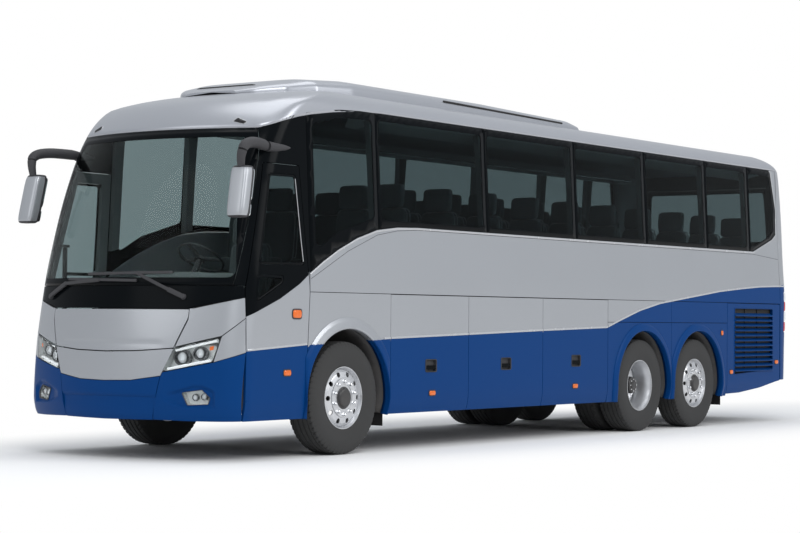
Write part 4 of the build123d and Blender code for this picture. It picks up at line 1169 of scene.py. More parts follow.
def bowl(outline, depths, shrink, kind=0):
    """A closed-bottomed recess: rings of an outline that draw in and go deeper."""
    rows = np.stack([shape_at(scaled(outline, s), d) for s, d in zip(shrink, depths)])
    return joined(sheet(rows, kind, wrap_columns=True, flip=True), fan(rows[-1], kind))


LAMP_FINISHES = ("lamp_reflector", "lamp_bezel", "bright_metal", "lamp_bulb", "light_guide", "amber_lens")
REFLECTOR, BEZEL, CUP, BULB, GUIDE, AMBER = range(6)


def round_lamp(centre, radius, depth, count=40):
    """A round projector: bezel ring, reflector cup and a domed lens, aimed along LAMP_AIM."""
    direction = np.asarray(LAMP_AIM, float) / np.linalg.norm(LAMP_AIM)
    side = np.cross(direction, (0, 0, 1.0))
    side /= np.linalg.norm(side)
    up = np.cross(side, direction)
    turn = full_turn(count)
    ring = np.cos(turn)[:, None] * side + np.sin(turn)[:, None] * up

    def rings(profile):
        return np.stack([np.asarray(centre) + direction * d + ring * radius * r for r, d in profile])

    edge = rings([(0.98, -depth), (1.12, -depth), (1.14, -0.004), (1.06, 0.004), (1.0, 0.002),
                  (0.97, -0.006)])
    lens = rings([(0.96 * np.cos(a) + 1e-4, -0.010 + 0.35 * radius * np.sin(a))
                  for a in np.linspace(0, pi / 2, 8)])
    cup = rings([(0.99, -0.004), (0.90, -0.5 * depth), (0.5, -0.9 * depth), (1e-4, -depth)])
    return joined(sheet(edge, BEZEL, wrap_rows=True, wrap_columns=True, flip=True),
                  sheet(cup, CUP, wrap_columns=True, flip=True),
                  sheet(lens, BULB, wrap_columns=True, flip=True))


def projectors(spots, sink, depth):
    """Round lamps at (x, height, radius) spots of the front, sunk below its surface."""
    lamps = []
    for x, height, radius in spots:
        spot = from_x(x, height)
        lamps.append(round_lamp(skin(*spot) - outward(*spot) * sink, radius, depth))
    return lamps


class COACH_OT_front_lamps(CoachOperator, bpy.types.Operator):
    """Headlamps with projectors and light guides behind clear covers, and fog lamps"""
    bl_idname = "coach.front_lamps"
    bl_label = "Front lamps"

    def execute(self, context):
        lamp = end_outline(rounded([(0.617, 0.781), (0.700, 0.982), (1.094, 1.082), (1.045, 0.871)],
                                   (0.02, 0.02, 0.03, 0.04)), 0.02)
        inner = bowl(lamp, (0.001, 0.030, 0.085, 0.090), (1.0, 0.985, 0.93, 0.5))
        spots = projectors(((0.770, 0.905, 0.050), (0.925, 0.945, 0.044)), 0.040, 0.045)
        guides = []
        for a, b in (((0.715, 0.966), (1.062, 1.054)), ((0.650, 0.806), (1.020, 0.884))):
            run = end_run(np.array([a, b]), 0.03)
            guides.append(strip(run, ((0.009, -0.045), (0.009, -0.022), (0.0, -0.016), (-0.009, -0.022),
                                      (-0.009, -0.045)), kind=GUIDE))
        spot = end_outline(rounded([(1.010, 1.000), (1.045, 1.010), (1.040, 0.975), (1.008, 0.966)],
                                   0.006), 0.01)
        orange = panel([spot], kind=AMBER, depth=0.020, step=0.02, fine=(0.0, 1.7, 0.02))
        shroud = []
        for x, z, r in ((0.770, 0.905, 0.078), (0.925, 0.945, 0.066)):
            turn = full_turn(40)
            ring = end_outline(np.stack([x + r * np.cos(turn), z + r * 0.92 * np.sin(turn)], 1), 1.0)
            shroud.append(bezel([(ring, 0.088), (scaled(ring, 0.98), 0.046), (scaled(ring, 0.80), 0.044),
                                 (scaled(ring, 0.76), 0.088)], BEZEL))
        inside = both(joined(inner, *spots, *shroud, *guides, orange))
        piece("headlamp_units", inside, LAMP_FINISHES, "coach_body", replaces="front_lamps",
              smooth=40)
        piece("headlamp_covers", both(panel([lamp], step=0.03, fine=(-1.7, 1.7, 0.03))), "lens_clear",
              "coach_body", wall=0.003)
        fog = end_outline(rounded(moved_in(FOG_LAMP, 0.004), 0.012), 0.02)
        fog_bowl = bowl(fog, (0.030, 0.045, 0.072, 0.074), (1.0, 0.96, 0.86, 0.4), kind=0)
        fogs = projectors(((0.900, 0.560, 0.027), (0.975, 0.567, 0.027)), 0.050, 0.020)
        frame_ring = scaled(fog, 1.05)
        rim = bezel([(frame_ring, 0.045), (frame_ring, 0.016), (fog, 0.016), (fog, 0.045)], BEZEL)
        piece("fog_lamps", both(joined(fog_bowl, *fogs, rim)), LAMP_FINISHES[:4], "coach_body", smooth=40)
        piece("fog_lamp_covers", both(panel([fog], kind=0, depth=0.026, step=0.03, fine=(0.0, 1.7, 0.03))),
              "lens_clear", "coach_body", wall=0.003)
        return {"FINISHED"}


class COACH_OT_wipers(CoachOperator, bpy.types.Operator):
    """Wipers: pivots, tapering arms and jointed blades with rubber edges"""
    bl_idname = "coach.wipers"
    bl_label = "Wipers"

    def execute(self, context):
        def bar_on_screen(points, low, high, wide, kind=0):
            run = end_run(np.asarray(points, float), 0.03)
            section = ((wide, low), (wide, high - 0.003), (0.5 * wide, high), (-0.5 * wide, high),
                       (-wide, high - 0.003), (-wide, low))
            return strip(run, section, kind=kind)

        parts = []
        for pivot, elbow, tip, blade in (
            ((0.740, 1.430), (0.600, 1.490), (0.250, 1.640), ((-0.320, 1.628), (0.620, 1.640))),
            ((-0.900, 1.430), (-0.640, 1.545), (-0.160, 1.572), ((-0.600, 1.585), (0.270, 1.568))),
        ):
            parts.append(bar_on_screen([pivot, elbow], 0.016, 0.034, 0.020))
            parts.append(bar_on_screen([elbow, tip], 0.018, 0.034, 0.014))
            parts.append(bar_on_screen(blade, 0.0165, 0.030, 0.012))
            parts.append(bar_on_screen(blade, 0.0075, 0.0165, 0.003, kind=1))
            spot = from_x(*pivot)
            path = skin(*spot) + np.outer((0.0, 0.010, 0.022, 0.032, 0.0335), outward(*spot))
            parts.append(tube(path, (0.026, 0.026, 0.024, 0.018, 0.004), 20))
        piece("wiper_set", joined(*parts), ("black_plastic", "rubber_sheet"), "coach_body", replaces="wipers",
              smooth=35)
        return {"FINISHED"}


class COACH_OT_mirrors(CoachOperator, bpy.types.Operator):
    """Mirrors: arms that curve forward and down, and rounded heads with glass at the rear"""
    bl_idname = "coach.mirrors"
    bl_label = "Mirrors"

    def execute(self, context):
        t = np.linspace(0, 1, 40)[:, None]
        knots = np.array([(1.120, -1.050, 2.762), (1.170, -1.180, 2.778), (1.222, -1.340, 2.782),
                          (1.262, -1.490, 2.765), (1.272, -1.570, 2.715), (1.262, -1.585, 2.640),
                          (1.255, -1.575, 2.560)])
        along = np.linspace(0, 1, len(knots))
        path = np.stack([smooth_curve(t[:, 0], along, knots[:, i]) for i in range(3)], 1)
        path[:, 1] += FRONT_AXLE
        arm = tube(path, np.interp(t[:, 0], (0, 0.15, 0.6, 1.0), (0.036, 0.048, 0.046, 0.032)), 20, kind=0)
        root = np.array([(1.172, -0.780, 2.775), (1.176, -0.880, 2.770), (1.170, -1.000, 2.765),
                         (1.160, -1.100, 2.768)])
        root[:, 1] += FRONT_AXLE
        foot = tube(root, (0.006, 0.026, 0.040, 0.046), 16, kind=0)
        rows, columns = 24, 48
        v = np.linspace(-pi / 2, pi / 2, rows)[:, None]
        u = full_turn(columns)[None, :]

        middle_x, middle_y, middle_z = 1.250, FRONT_AXLE - 1.560, 2.340
        wide, deep, tall = 0.090, 0.072, 0.228

        def lean(height):
            """Share of the head's slope at a height: the foot of the head lies further forward and out."""
            return (2.568 - height) / 0.456 - 0.3

        x = middle_x + wide * squarish(np.cos(v), 0.25) * squarish(np.cos(u), 0.35)
        y = middle_y + deep * squarish(np.cos(v), 0.25) * squarish(np.sin(u), 0.5)
        z = middle_z + tall * squarish(np.sin(v), 0.35) * np.ones_like(u)
        points = np.stack([x + 0.022 * lean(z), y - 0.095 * lean(z), z], -1)
        shell = sheet(points, 1, wrap_columns=True)
        centre = points.reshape(-1, 3)[shell[1]].mean(1)
        rear = centre[:, 1] + 0.095 * lean(centre[:, 2])
        edge = (rear > middle_y + 0.015) | (np.abs(centre[:, 2] - middle_z) > 0.212)
        shell = (*shell[:2], np.where(edge, 0, 1))
        turn = full_turn(48)
        pane_x = middle_x + 0.076 * squarish(np.cos(turn), 0.3)
        glass = []
        for pane_z in (2.400 + 0.145 * squarish(np.sin(turn), 0.3),
                       2.180 + 0.055 * squarish(np.sin(turn), 0.4)):
            pane, faces, kinds = prism(np.stack([pane_x, pane_z], 1), 1, FRONT_AXLE - 1.494,
                                       FRONT_AXLE - 1.484, 2)
            tip = lean(pane[:, 2])
            glass.append((pane + np.stack([0.022 * tip, -0.095 * tip, 0 * tip], 1), faces, kinds))
        head = joined(shell, *glass)
        piece("mirror_set", both(joined(arm, foot, head)), ("black_plastic", "silver_paint", "mirror_glass"),
              "coach_body", replaces="mirrors", smooth=50)
        return {"FINISHED"}


# --- Doors --------------------------------------------------------------------------------------------------
def pane_hole(points, radius=0.04, grow=0.0):
    return side_outline(rounded(moved_in(points, -grow), radius), 0.03)


def door_leaf(outline, panes, depth=0.0):
    """A door's painted skin with its window openings, in one side's coordinates."""
    holes = [pane_hole(p, 0.035) for p in panes]
    lines = [line_between(COLOUR_LINE, -1.52, -0.58), line_between(SILL, -1.478, -0.58)]
    return panel([side_outline(outline, 0.04)], holes=holes, lines=lines, kind=side_paint, step=0.05,
                 depth=depth, fine=(1.0, 2.0, 0.04))


def door_glass(panes):
    """A door's panes with their black borders, in one side's coordinates."""
    outlines = [pane_hole(pane, 0.034) for pane in panes]
    clear = [pane_hole(moved_in(pane, 0.022), 0.030) for pane in panes]
    return glazed(outlines, clear, step=0.05, depth=0.001, fine=(1.0, 2.0, 0.04))


class COACH_OT_front_doors(CoachOperator, bpy.types.Operator):
    """Driver's and passenger's doors with flush glass and dark edges"""
    bl_idname = "coach.front_doors"
    bl_label = "Front doors"

    def execute(self, context):
        driver = moved_in(DRIVER_DOOR, 0.0005)
        leaf = door_leaf(driver, [moved_in(p, -0.001) for p in DRIVER_PANES])
        body_panel("driver_door_skin", leaf, "driver_door", replaces="driver_door")
        panes = [moved_in(p, 0.001) for p in DRIVER_PANES]
        piece("driver_door_panes", door_glass(panes), ("black_gloss", "window_glass"), "driver_door",
              replaces="driver_door_glass", wall=0.006)
        entry = moved_in(PASSENGER_DOOR, 0.0005)
        leaf = mirrored(door_leaf(entry, [moved_in(PASSENGER_PANE, -0.001)], depth=-0.0015))
        body_panel("passenger_door_skin", leaf, "passenger_door")
        piece("passenger_door_pane", mirrored(door_glass([moved_in(PASSENGER_PANE, 0.001)])),
              ("black_gloss", "window_glass"), "passenger_door", replaces="passenger_door_glass",
              wall=0.006)
        light = line_points([(z, s) for s, z in ((-0.655, 1.728), (-0.740, 2.538))], 1.76, 2.50)
        run = side_run([(s - 0.012, z) for z, s in light], 0.06)
        frame_strip = strip(run, ((-0.004, -0.002), (0.004, -0.002), (0.003, 0.002), (-0.003, 0.002)))
        piece("driver_door_trim", joined(frame_strip), "bright_moulding", "driver_door")
        moulding = line_between(COLOUR_LINE, -1.450, -0.622, 0.05) + MOULDING_RISE
        piece("driver_door_moulding", strip(moulding, bar(0.020, 0.005)), "bright_moulding", "driver_door")
        piece("passenger_door_moulding",
              mirrored(strip(line_between(COLOUR_LINE, -1.450, -1.375, 0.05) + MOULDING_RISE,
                             bar(0.020, 0.005))), "bright_moulding", "passenger_door")
        return {"FINISHED"}


class COACH_OT_luggage_doors(CoachOperator, bpy.types.Operator):
    """Luggage doors with their latches, mouldings and amber side markers"""
    bl_idname = "coach.luggage_doors"
    bl_label = "Luggage doors"

    def execute(self, context):
        sizes = context.scene.coach_sizes
        latches = ((1.349, 0.799), (2.709, 0.802), (4.119, 0.817))
        for index, (station, height) in enumerate(latches):
            front, rear = BAYS[index] + 0.003, BAYS[index + 1] - 0.003
            outline = side_outline(rectangle(front, SKIRT, rear, BELT - 0.006), 0.06)
            pocket = rounded(rectangle(station - 0.098, height - 0.060, station + 0.098,
                                       height + 0.066), 0.020)
            hole = side_outline(pocket, 0.02)
            line = line_between(COLOUR_LINE, front + 0.003, rear - 0.003, 0.06)

            def press(_, level):
                """The skirt's lower edge rolls in."""
                return -0.006 * unit((0.40 - level) / 0.05) ** 2

            skin_mesh = panel([outline], holes=[hole], lines=[line], kind=side_paint, step=0.09,
                              fine=(0, 0.1, 0.09), relief=press)
            frame_ring = bezel([(hole, 0.002), (hole, -0.004), (scaled(hole, 0.90), -0.004),
                                (scaled(hole, 0.88), 0.028)])
            floor_mesh = panel([side_outline(scaled(pocket, 0.9), 0.02)], depth=0.026, kind=0, step=0.03,
                               fine=(0, 0.1, 0.03))
            a, b = station - 0.082, station + 0.082
            lever = strip(side_run([(a, height - 0.014), (b, height - 0.014)], 0.02),
                          ((-0.020, -0.022), (0.020, -0.022), (0.018, -0.003), (-0.018, -0.001)), kind=1)
            trim = strip(line_between(COLOUR_LINE, front + 0.002, rear - 0.002, 0.06) + MOULDING_RISE,
                         bar(sizes.moulding, 0.006))
            marker_spot = {0: (1.370, 0.536), 2: (4.100, 0.547)}.get(index)
            for side, word in ((1, "left"), (-1, "right")):
                turn = (lambda m: m) if side > 0 else mirrored
                body = f"luggage_door_{word}_{index + 1}"
                body_panel(body + "_skin", turn(skin_mesh), body, replaces=body, wall=0.028)
                piece(body + "_latch", turn(joined(frame_ring, floor_mesh, lever)),
                      ("black_plastic", "black_gloss"), body, bevel=0.0015)
                piece(body + "_moulding", turn(trim), "bright_moulding", body)
                if marker_spot:
                    piece(body + "_marker", turn(marker(*marker_spot)), MARKER_FINISHES, body)
        return {"FINISHED"}


MARKER_FINISHES = ("black_plastic", "amber_lens")


def marker(station, height, wide=0.050, tall=0.022, rim=0.008):
    """A side marker lamp: a rounded lens in a black bezel."""
    outline = rounded(rectangle(station - wide, height - tall, station + wide, height + tall), tall * 0.8)
    lens = side_outline(outline, 0.012)
    cover = dome(lens, ((1.0, 0.004), (1.0, -0.006), (0.93, -0.010), (0.7, -0.013), (0.35, -0.014),
                        (0.02, -0.0143)), 1)
    outer = scaled(lens, (1 + rim / tall * 0.5, 1 + rim / tall))
    inner = scaled(lens, 1.02)
    return joined(cover, bezel([(outer, 0.003), (outer, -0.004), (inner, -0.005), (inner, 0.003)]))


class COACH_OT_side_markers(CoachOperator, bpy.types.Operator):
    """Amber markers and the round lamp on the fixed side panels"""
    bl_idname = "coach.side_markers"
    bl_label = "Side markers"

    def execute(self, context):
        fixed = marker(7.600, 1.120, 0.026, 0.026, 0.012)
        piece("side_markers", both(fixed), MARKER_FINISHES, "coach_body")
        door = joined(marker(-0.769, 1.290, 0.062, 0.036, 0.012), marker(-0.903, 0.767, 0.050, 0.024))
        piece("driver_door_markers", door, MARKER_FINISHES, "driver_door")
        rear = joined(marker(9.134, 0.749, 0.045), marker(7.855, 0.641, 0.040))
        piece("grille_door_marker", rear, MARKER_FINISHES, "grille_door")
        piece("service_door_marker", mirrored(rear), MARKER_FINISHES, "service_door")
        return {"FINISHED"}


class COACH_OT_engine_doors(CoachOperator, bpy.types.Operator):
    """Engine side doors: a framed grille of tilted slats in a blue skin"""
    bl_idname = "coach.engine_doors"
    bl_label = "Engine side doors"

    def execute(self, context):
        outline = moved_in(ENGINE_DOOR, 0.0005)
        opening = rounded([(7.950, 0.612), (9.025, 0.660), (9.020, 1.420), (7.950, 1.420)], 0.02)
        skin_mesh = panel([side_outline(outline, 0.06)], holes=[side_outline(opening, 0.05)], kind=side_paint,
                          step=0.07, fine=(0, 0.1, 0.07))
        lip_line = side_outline(opening, 0.05)
        ring = np.stack([shape_at(scaled(lip_line, 1.018), 0.002),
                         shape_at(scaled(lip_line, 1.016), -0.004), shape_at(lip_line, -0.004),
                         shape_at(lip_line, 0.030)])
        lip = sheet(ring, 1, wrap_columns=True, flip=True)
        slats = []
        low, pitch, count = 0.665, 0.0620, 12
        stations = np.linspace(7.952, 9.022, 24)
        section = ((0.034, 0.036), (0.0035, -0.022), (-0.002, -0.026), (-0.006, -0.024), (0.028, 0.038))
        for row in range(count):
            height = low + row * pitch
            around = around_from_station(stations, height)
            rings = [skin(around, height + across - 0.015)
                     - outward(around, height + across - 0.015) * (deep + 0.006) for across, deep in section]
            slats.append(capped(np.stack(rings, 1), 1))
        # a near-black sheet and two ribs behind the slats: painted shade in the depth of the grille
        backing = panel([side_outline(moved_in(opening, -0.02), 0.08)], kind=3, depth=0.043, step=0.12,
                        fine=(0, 0.1, 0.12))
        rib = []
        for station in (8.300, 8.650):
            run = side_run([(station, 0.665), (station, 1.415)], 0.05)
            rib.append(strip(run, rectangle(-0.008, -0.040, 0.008, -0.030), kind=3))
        kinds = ("silver_paint", "blue_paint", "black_gloss", "dark_gap")
        body_panel("grille_door_skin", skin_mesh, "grille_door", replaces="grille_door")
        grille = joined(lip, *slats, *rib, backing)
        piece("grille_door_slats", grille, kinds, "grille_door")
        body_panel("service_door_skin", mirrored(skin_mesh), "service_door", replaces="service_door")
        piece("service_door_slats", mirrored(grille), kinds, "service_door")
        return {"FINISHED"}


# --- Roof ---------------------------------------------------------------------------------------------------
class COACH_OT_roof(CoachOperator, bpy.types.Operator):
    """Roof skin from the top of the glazing over both shoulders, with marker lamps on its front corners"""
    bl_idname = "coach.roof"
    bl_label = "Roof"

    def execute(self, context):
        def base(station):
            return np.interp(station, *np.transpose(GLAZING_TOP))

        # half plan from the middle of the front round the left side to the middle of the rear
        around_front = np.linspace(0, 1.75, 60)[:-1]
        rear_run = np.linspace(1, 0, 54)[1:]
        levels = np.linspace(0, 1, 26)
        rows = []
        for t in levels:
            level = 2.943 + (ROOF_CAP - 2.943) * t
            front = skin(around_front, level)
            stations = np.linspace(front[-1, 1] - FRONT_AXLE, 9.0, 96)[1:]
            side = skin(around_from_station(stations, level), level)
            back = skin(rear_run * around_from_station(9.0, level, REAR), level, REAR)
            rows.append(np.vstack([front, side, back]))
        grid = np.stack(rows)
        # lift the lowest rows to the glazing line: blend each column from its own base height
        station = grid[0, :, 1] - FRONT_AXLE
        column_base = np.where(station < 0.27, base(np.clip(station, -1.088, 0.27)), 3.203)
        column_base = np.maximum(column_base, 2.943)
        lifted = []
        for j in range(grid.shape[1]):
            column = grid[:, j]
            start = column_base[j]
            level_of = 2.943 + (ROOF_CAP - 2.943) * levels
            want = start + (ROOF_CAP - start) * levels
            lifted.append(np.stack([np.interp(want, level_of, column[:, k]) for k in range(3)], -1))
        grid = np.stack(lifted, 1)
        cap_low = grid[-1]
        top = np.stack([cap_low, cap_low * (0.5, 1, 1) + (0, 0, 0.006),
                        cap_low * (0.0, 1, 1) + (0, 0, 0.008)])
        mesh = both(joined(sheet(grid), sheet(top)))
        mesh[0][:, 2] += 0.0015
        piece("roof_skin", mesh, "roof_paint", "coach_body", replaces="roof", wall=0.025,
              smooth=30)
        spot = end_outline(rounded([(0.800, 3.000), (0.905, 2.975), (0.925, 2.995), (0.825, 3.035)],
                                   0.012), 0.012)
        lens = dome(spot, ((1.0, 0.004), (1.0, -0.004), (0.9, -0.008), (0.5, -0.011), (0.02, -0.012)), 1)
        rim = bezel([(scaled(spot, 1.22), 0.003), (scaled(spot, 1.20), -0.0035),
                     (scaled(spot, 1.02), -0.0045), (scaled(spot, 1.02), 0.003)])
        piece("roof_markers", both(joined(lens, rim)), ("bright_moulding", "lamp_dark"), "coach_body",
              smooth=40)
        return {"FINISHED"}


class COACH_OT_roof_pod(CoachOperator, bpy.types.Operator):
    """Roof pod: a rounded cover with a raised scoop, an air slot, cross seams and a side vent; slot and vent
    are near-black tubes of painted shade
    """
    bl_idname = "coach.roof_pod"
    bl_label = "Roof pod"

    def execute(self, context):
        length = np.concatenate([np.linspace(0, 0.2, 60), np.linspace(0.2, 1, 110)[1:]])
        station = -0.52 + length * 5.55
        top = np.interp(station, (-0.52, -0.33, 0.06, 0.60, 3.00, 4.70, 5.00, 5.03),
                        (3.372, 3.430, 3.518, 3.552, 3.552, 3.512, 3.455, 3.425))
        half = np.interp(station, (-0.52, -0.42, -0.20, 0.10, 0.60, 4.60, 4.90, 5.03),
                         (0.30, 0.45, 0.66, 0.78, 0.83, 0.83, 0.80, 0.74))
        foot = np.interp(station, (-0.54, -0.12, 0.50, 5.1), (3.345, 3.380, 3.395, 3.395)) - 0.004
        turn = np.linspace(0, 1, 41)
        angle = (turn - 0.5) * pi
        x = squarish(np.sin(angle), 0.34)
        z = np.abs(np.cos(angle)) ** 0.55
        along = np.broadcast_to(FRONT_AXLE + station[:, None], (len(station), len(turn)))
        grid = np.stack([-half[:, None] * x[None], along, foot[:, None] + (top - foot)[:, None] * z[None]],
                        -1)
        seam = np.zeros(len(station))
        for s in (0.645, 1.115, 4.55):
            seam += np.exp(-((station - s) / 0.012) ** 2)
        grid[:, :, 2] -= 0.010 * seam[:, None] * z[None]
        body = sheet(grid)
        ends = []
        for row, flip in ((0, False), (-1, True)):
            ring = grid[row]
            centre = ring.mean(0, keepdims=True)
            index = np.arange(40)
            rays = np.stack([index, index + 1, np.full(40, 41)], 1)
            ends.append((np.vstack([ring, centre]), triangles(rays[:, ::-1] if flip else rays),
                         np.zeros(40, int)))
        # the air slot and the side vents are near-black tubes: painted shade standing for the openings
        slot_path = np.stack([np.linspace(-0.36, 0.36, 40), np.full(40, FRONT_AXLE - 0.300),
                              np.full(40, 3.4360)], 1)
        vents = []
        for side in (1, -1):
            stations = np.linspace(2.16, 4.50, 40)
            path = np.stack([np.full(40, side * 0.822), FRONT_AXLE + stations,
                             np.interp(stations, (2.16, 4.50), (3.478, 3.445))], 1)
            vents.append(tube(path, 0.011, 10, kind=1))
        nose_slot = tube(slot_path, np.interp(np.linspace(0, 1, 40), (0, 0.06, 0.94, 1),
                                              (0.003, 0.011, 0.011, 0.003)), 12, kind=1)
        piece("roof_pod_shell", joined(body, *ends, *vents, nose_slot), ("roof_paint", "dark_gap"),
              "coach_body", replaces="roof_pod", smooth=40)
        return {"FINISHED"}


# --- Rear ---------------------------------------------------------------------------------------------------
class COACH_OT_rear(CoachOperator, bpy.types.Operator):
    """Rear wall, engine lid with its handle and slots, and stacked tail lamps"""
    bl_idname = "coach.rear"
    bl_label = "Rear"

    def execute(self, context):
        top = 3.198

        def corner(height):
            return float(around_from_station(9.253, height, REAR)), height

        left = dense([corner(0.520), corner(1.490), corner(2.300), corner(2.700), corner(top)], 0.08,
                     closed=False)
        upper = dense([corner(top), (0.0, top)], 0.08, closed=False)
        lower = dense([(0.0, 0.545), corner(0.520)], 0.08, closed=False)
        half = np.vstack([lower[:-1], left[:-1], upper])
        outline = np.vstack([half, (half * (-1, 1))[::-1][1:-1]])
        lid_hole = end_outline(moved_in(ENGINE_LID, -0.006), 0.06, end=REAR)
        window = end_outline(moved_in(REAR_WINDOW, -0.002), 0.06, end=REAR)
        lamp = end_outline(rounded(TAIL_LAMP, 0.006), 0.01, end=REAR)
        holes = [lid_hole, window, lamp, lamp[::-1] * (-1, 1)]

        def kinds(around, level):
            return np.where(level > 1.709, np.where((level > 2.16) & (np.abs(around) < 1.03), 2, 0), 1)

        line = dense([corner(1.709), (0.0, 1.709)], 0.08, closed=False)
        line = np.vstack([line, line[::-1][1:] * (-1, 1)])
        line2 = dense([(1.03, 3.190), (1.03, 2.160), (-1.03, 2.160), (-1.03, 3.190)], 0.08, closed=False)
        wall = panel([outline], holes=holes, lines=[line[2:-2], line2], end=REAR, kind=kinds, step=0.09,
                     fine=(-1.6, 1.6, 0.07))
        body_panel("rear_panels", wall, "coach_body", replaces="rear_wall", wall=0.028)
        piece("rear_moulding", strip(line + MOULDING_RISE, bar(0.020, 0.005), end=REAR), "bright_moulding",
              "coach_body")
        lid = end_outline(rounded(ENGINE_LID, 0.03), 0.04, end=REAR)

        def press(around, level):
            slots = np.zeros_like(around)
            for height in (0.800, 0.865, 0.930):
                slots += np.exp(-(((level - height) / 0.010) ** 4)) * (np.abs(around) < 0.55)
            frame_line = np.exp(-((np.abs(around) - 0.74) / 0.012) ** 2) * ((level > 0.74) & (level < 1.33))
            return -0.007 * slots - 0.004 * frame_line

        lid_mesh = panel([lid], end=REAR, kind=1, step=0.020, relief=press, fine=(-0.9, 0.9, 0.022))
        body_panel("engine_lid_skin", lid_mesh, "engine_lid", replaces="engine_lid",
                   wall=0.028)
        handle = strip(end_run(np.array([(-0.11, 0.700), (0.11, 0.700)]), 0.03, end=REAR),
                       ((-0.018, -0.002), (0.018, -0.002), (0.014, 0.016), (-0.014, 0.016)), end=REAR)
        piece("engine_lid_handle", handle, "black_plastic", "engine_lid", bevel=0.003)
        lamps = []
        for low, high, kind in ((1.140, 1.262, 0), (1.270, 1.392, 1), (1.400, 1.522, 0), (1.530, 1.640, 1)):
            outline = end_outline(rounded([(1.050, low), (1.2435, low), (1.2395 + 0.004 * (low < 1.4), high),
                                           (1.050, high)], 0.006), 0.02, end=REAR)
            lamps.append(dome(outline, ((1.0, 0.012), (1.0, -0.002), (0.95, -0.006), (0.6, -0.009),
                                        (0.02, -0.010)), kind, REAR))
        tray = panel([lamp], end=REAR, kind=2, depth=0.008, step=0.03, fine=(-1.6, 1.6, 0.03))
        piece("tail_lamp_units", both(joined(tray, *lamps)), ("red_lens", "white_lens", "black_gloss"),
              "coach_body", replaces="tail_lamps", wall=0.003, smooth=40)
        plate = panel([end_outline(rounded(rectangle(-0.27, 1.20, 0.27, 1.32), 0.008), 0.04, end=REAR)],
                      end=REAR, kind=0, depth=-0.004, step=0.04, fine=(-0.3, 0.3, 0.04))
        piece("rear_plate", plate, "white_lens", "engine_lid", wall=0.003)
        return {"FINISHED"}


# --- Wheels -------------------------------------------------------------------------------------------------
def tyre_mesh(centre_x, centre_y, depth, count=192):
    """A tyre turned from its section, its tread cut by four grooves and by slanting sipes in the shoulders.

    The section is a grid of points round the tyre; a point of the tread moves in by the groove depth where
    the distance from the middle lies in a groove, or where shoulder position and angle fall in a sipe."""
    half = np.array([(0.116, 0.288), (0.128, 0.293), (0.133, 0.305), (0.137, 0.330), (0.144, 0.370),
                     (0.1480, 0.410), (0.1475, 0.440), (0.143, 0.470), (0.136, 0.495), (0.1300, 0.508),])
    tread_x = np.linspace(0.124, -0.124, 63)
    tread_r = 0.5218 - 0.005 * (tread_x / 0.124) ** 4
    groove = np.zeros(len(tread_x))
    for middle in (-0.078, -0.026, 0.026, 0.078):
        groove += np.exp(-(((tread_x - middle) / 0.0045) ** 4))
    right = (half * (-1, 1))[::-1]
    bore = np.array([(-0.100, 0.2905), (0.0, 0.2905), (0.100, 0.2905)])
    x = np.concatenate([half[:, 0], tread_x, right[:, 0], bore[:, 0]])
    r = np.concatenate([half[:, 1], tread_r, right[:, 1], bore[:, 1]])
    cut = np.concatenate([np.zeros(len(half)), groove, np.zeros(len(right)), np.zeros(len(bore))])
    turn = full_turn(count * 2)
    wave = np.cos(turn[None] * 60 + x[:, None] * 45)
    shoulder = unit((np.abs(x) - 0.088) / 0.010) * (r > 0.49)
    sipe = shoulder[:, None] * unit((wave - 0.72) / 0.2)
    radius = r[:, None] - depth * np.minimum(1, cut[:, None] + 0.8 * sipe)
    rings = np.stack([np.broadcast_to(centre_x + x[:, None], radius.shape), centre_y + radius * np.cos(turn),
                      AXLE_HEIGHT + radius * np.sin(turn)], -1)
    return sheet(rings, 0, wrap_rows=True, wrap_columns=True, flip=True)


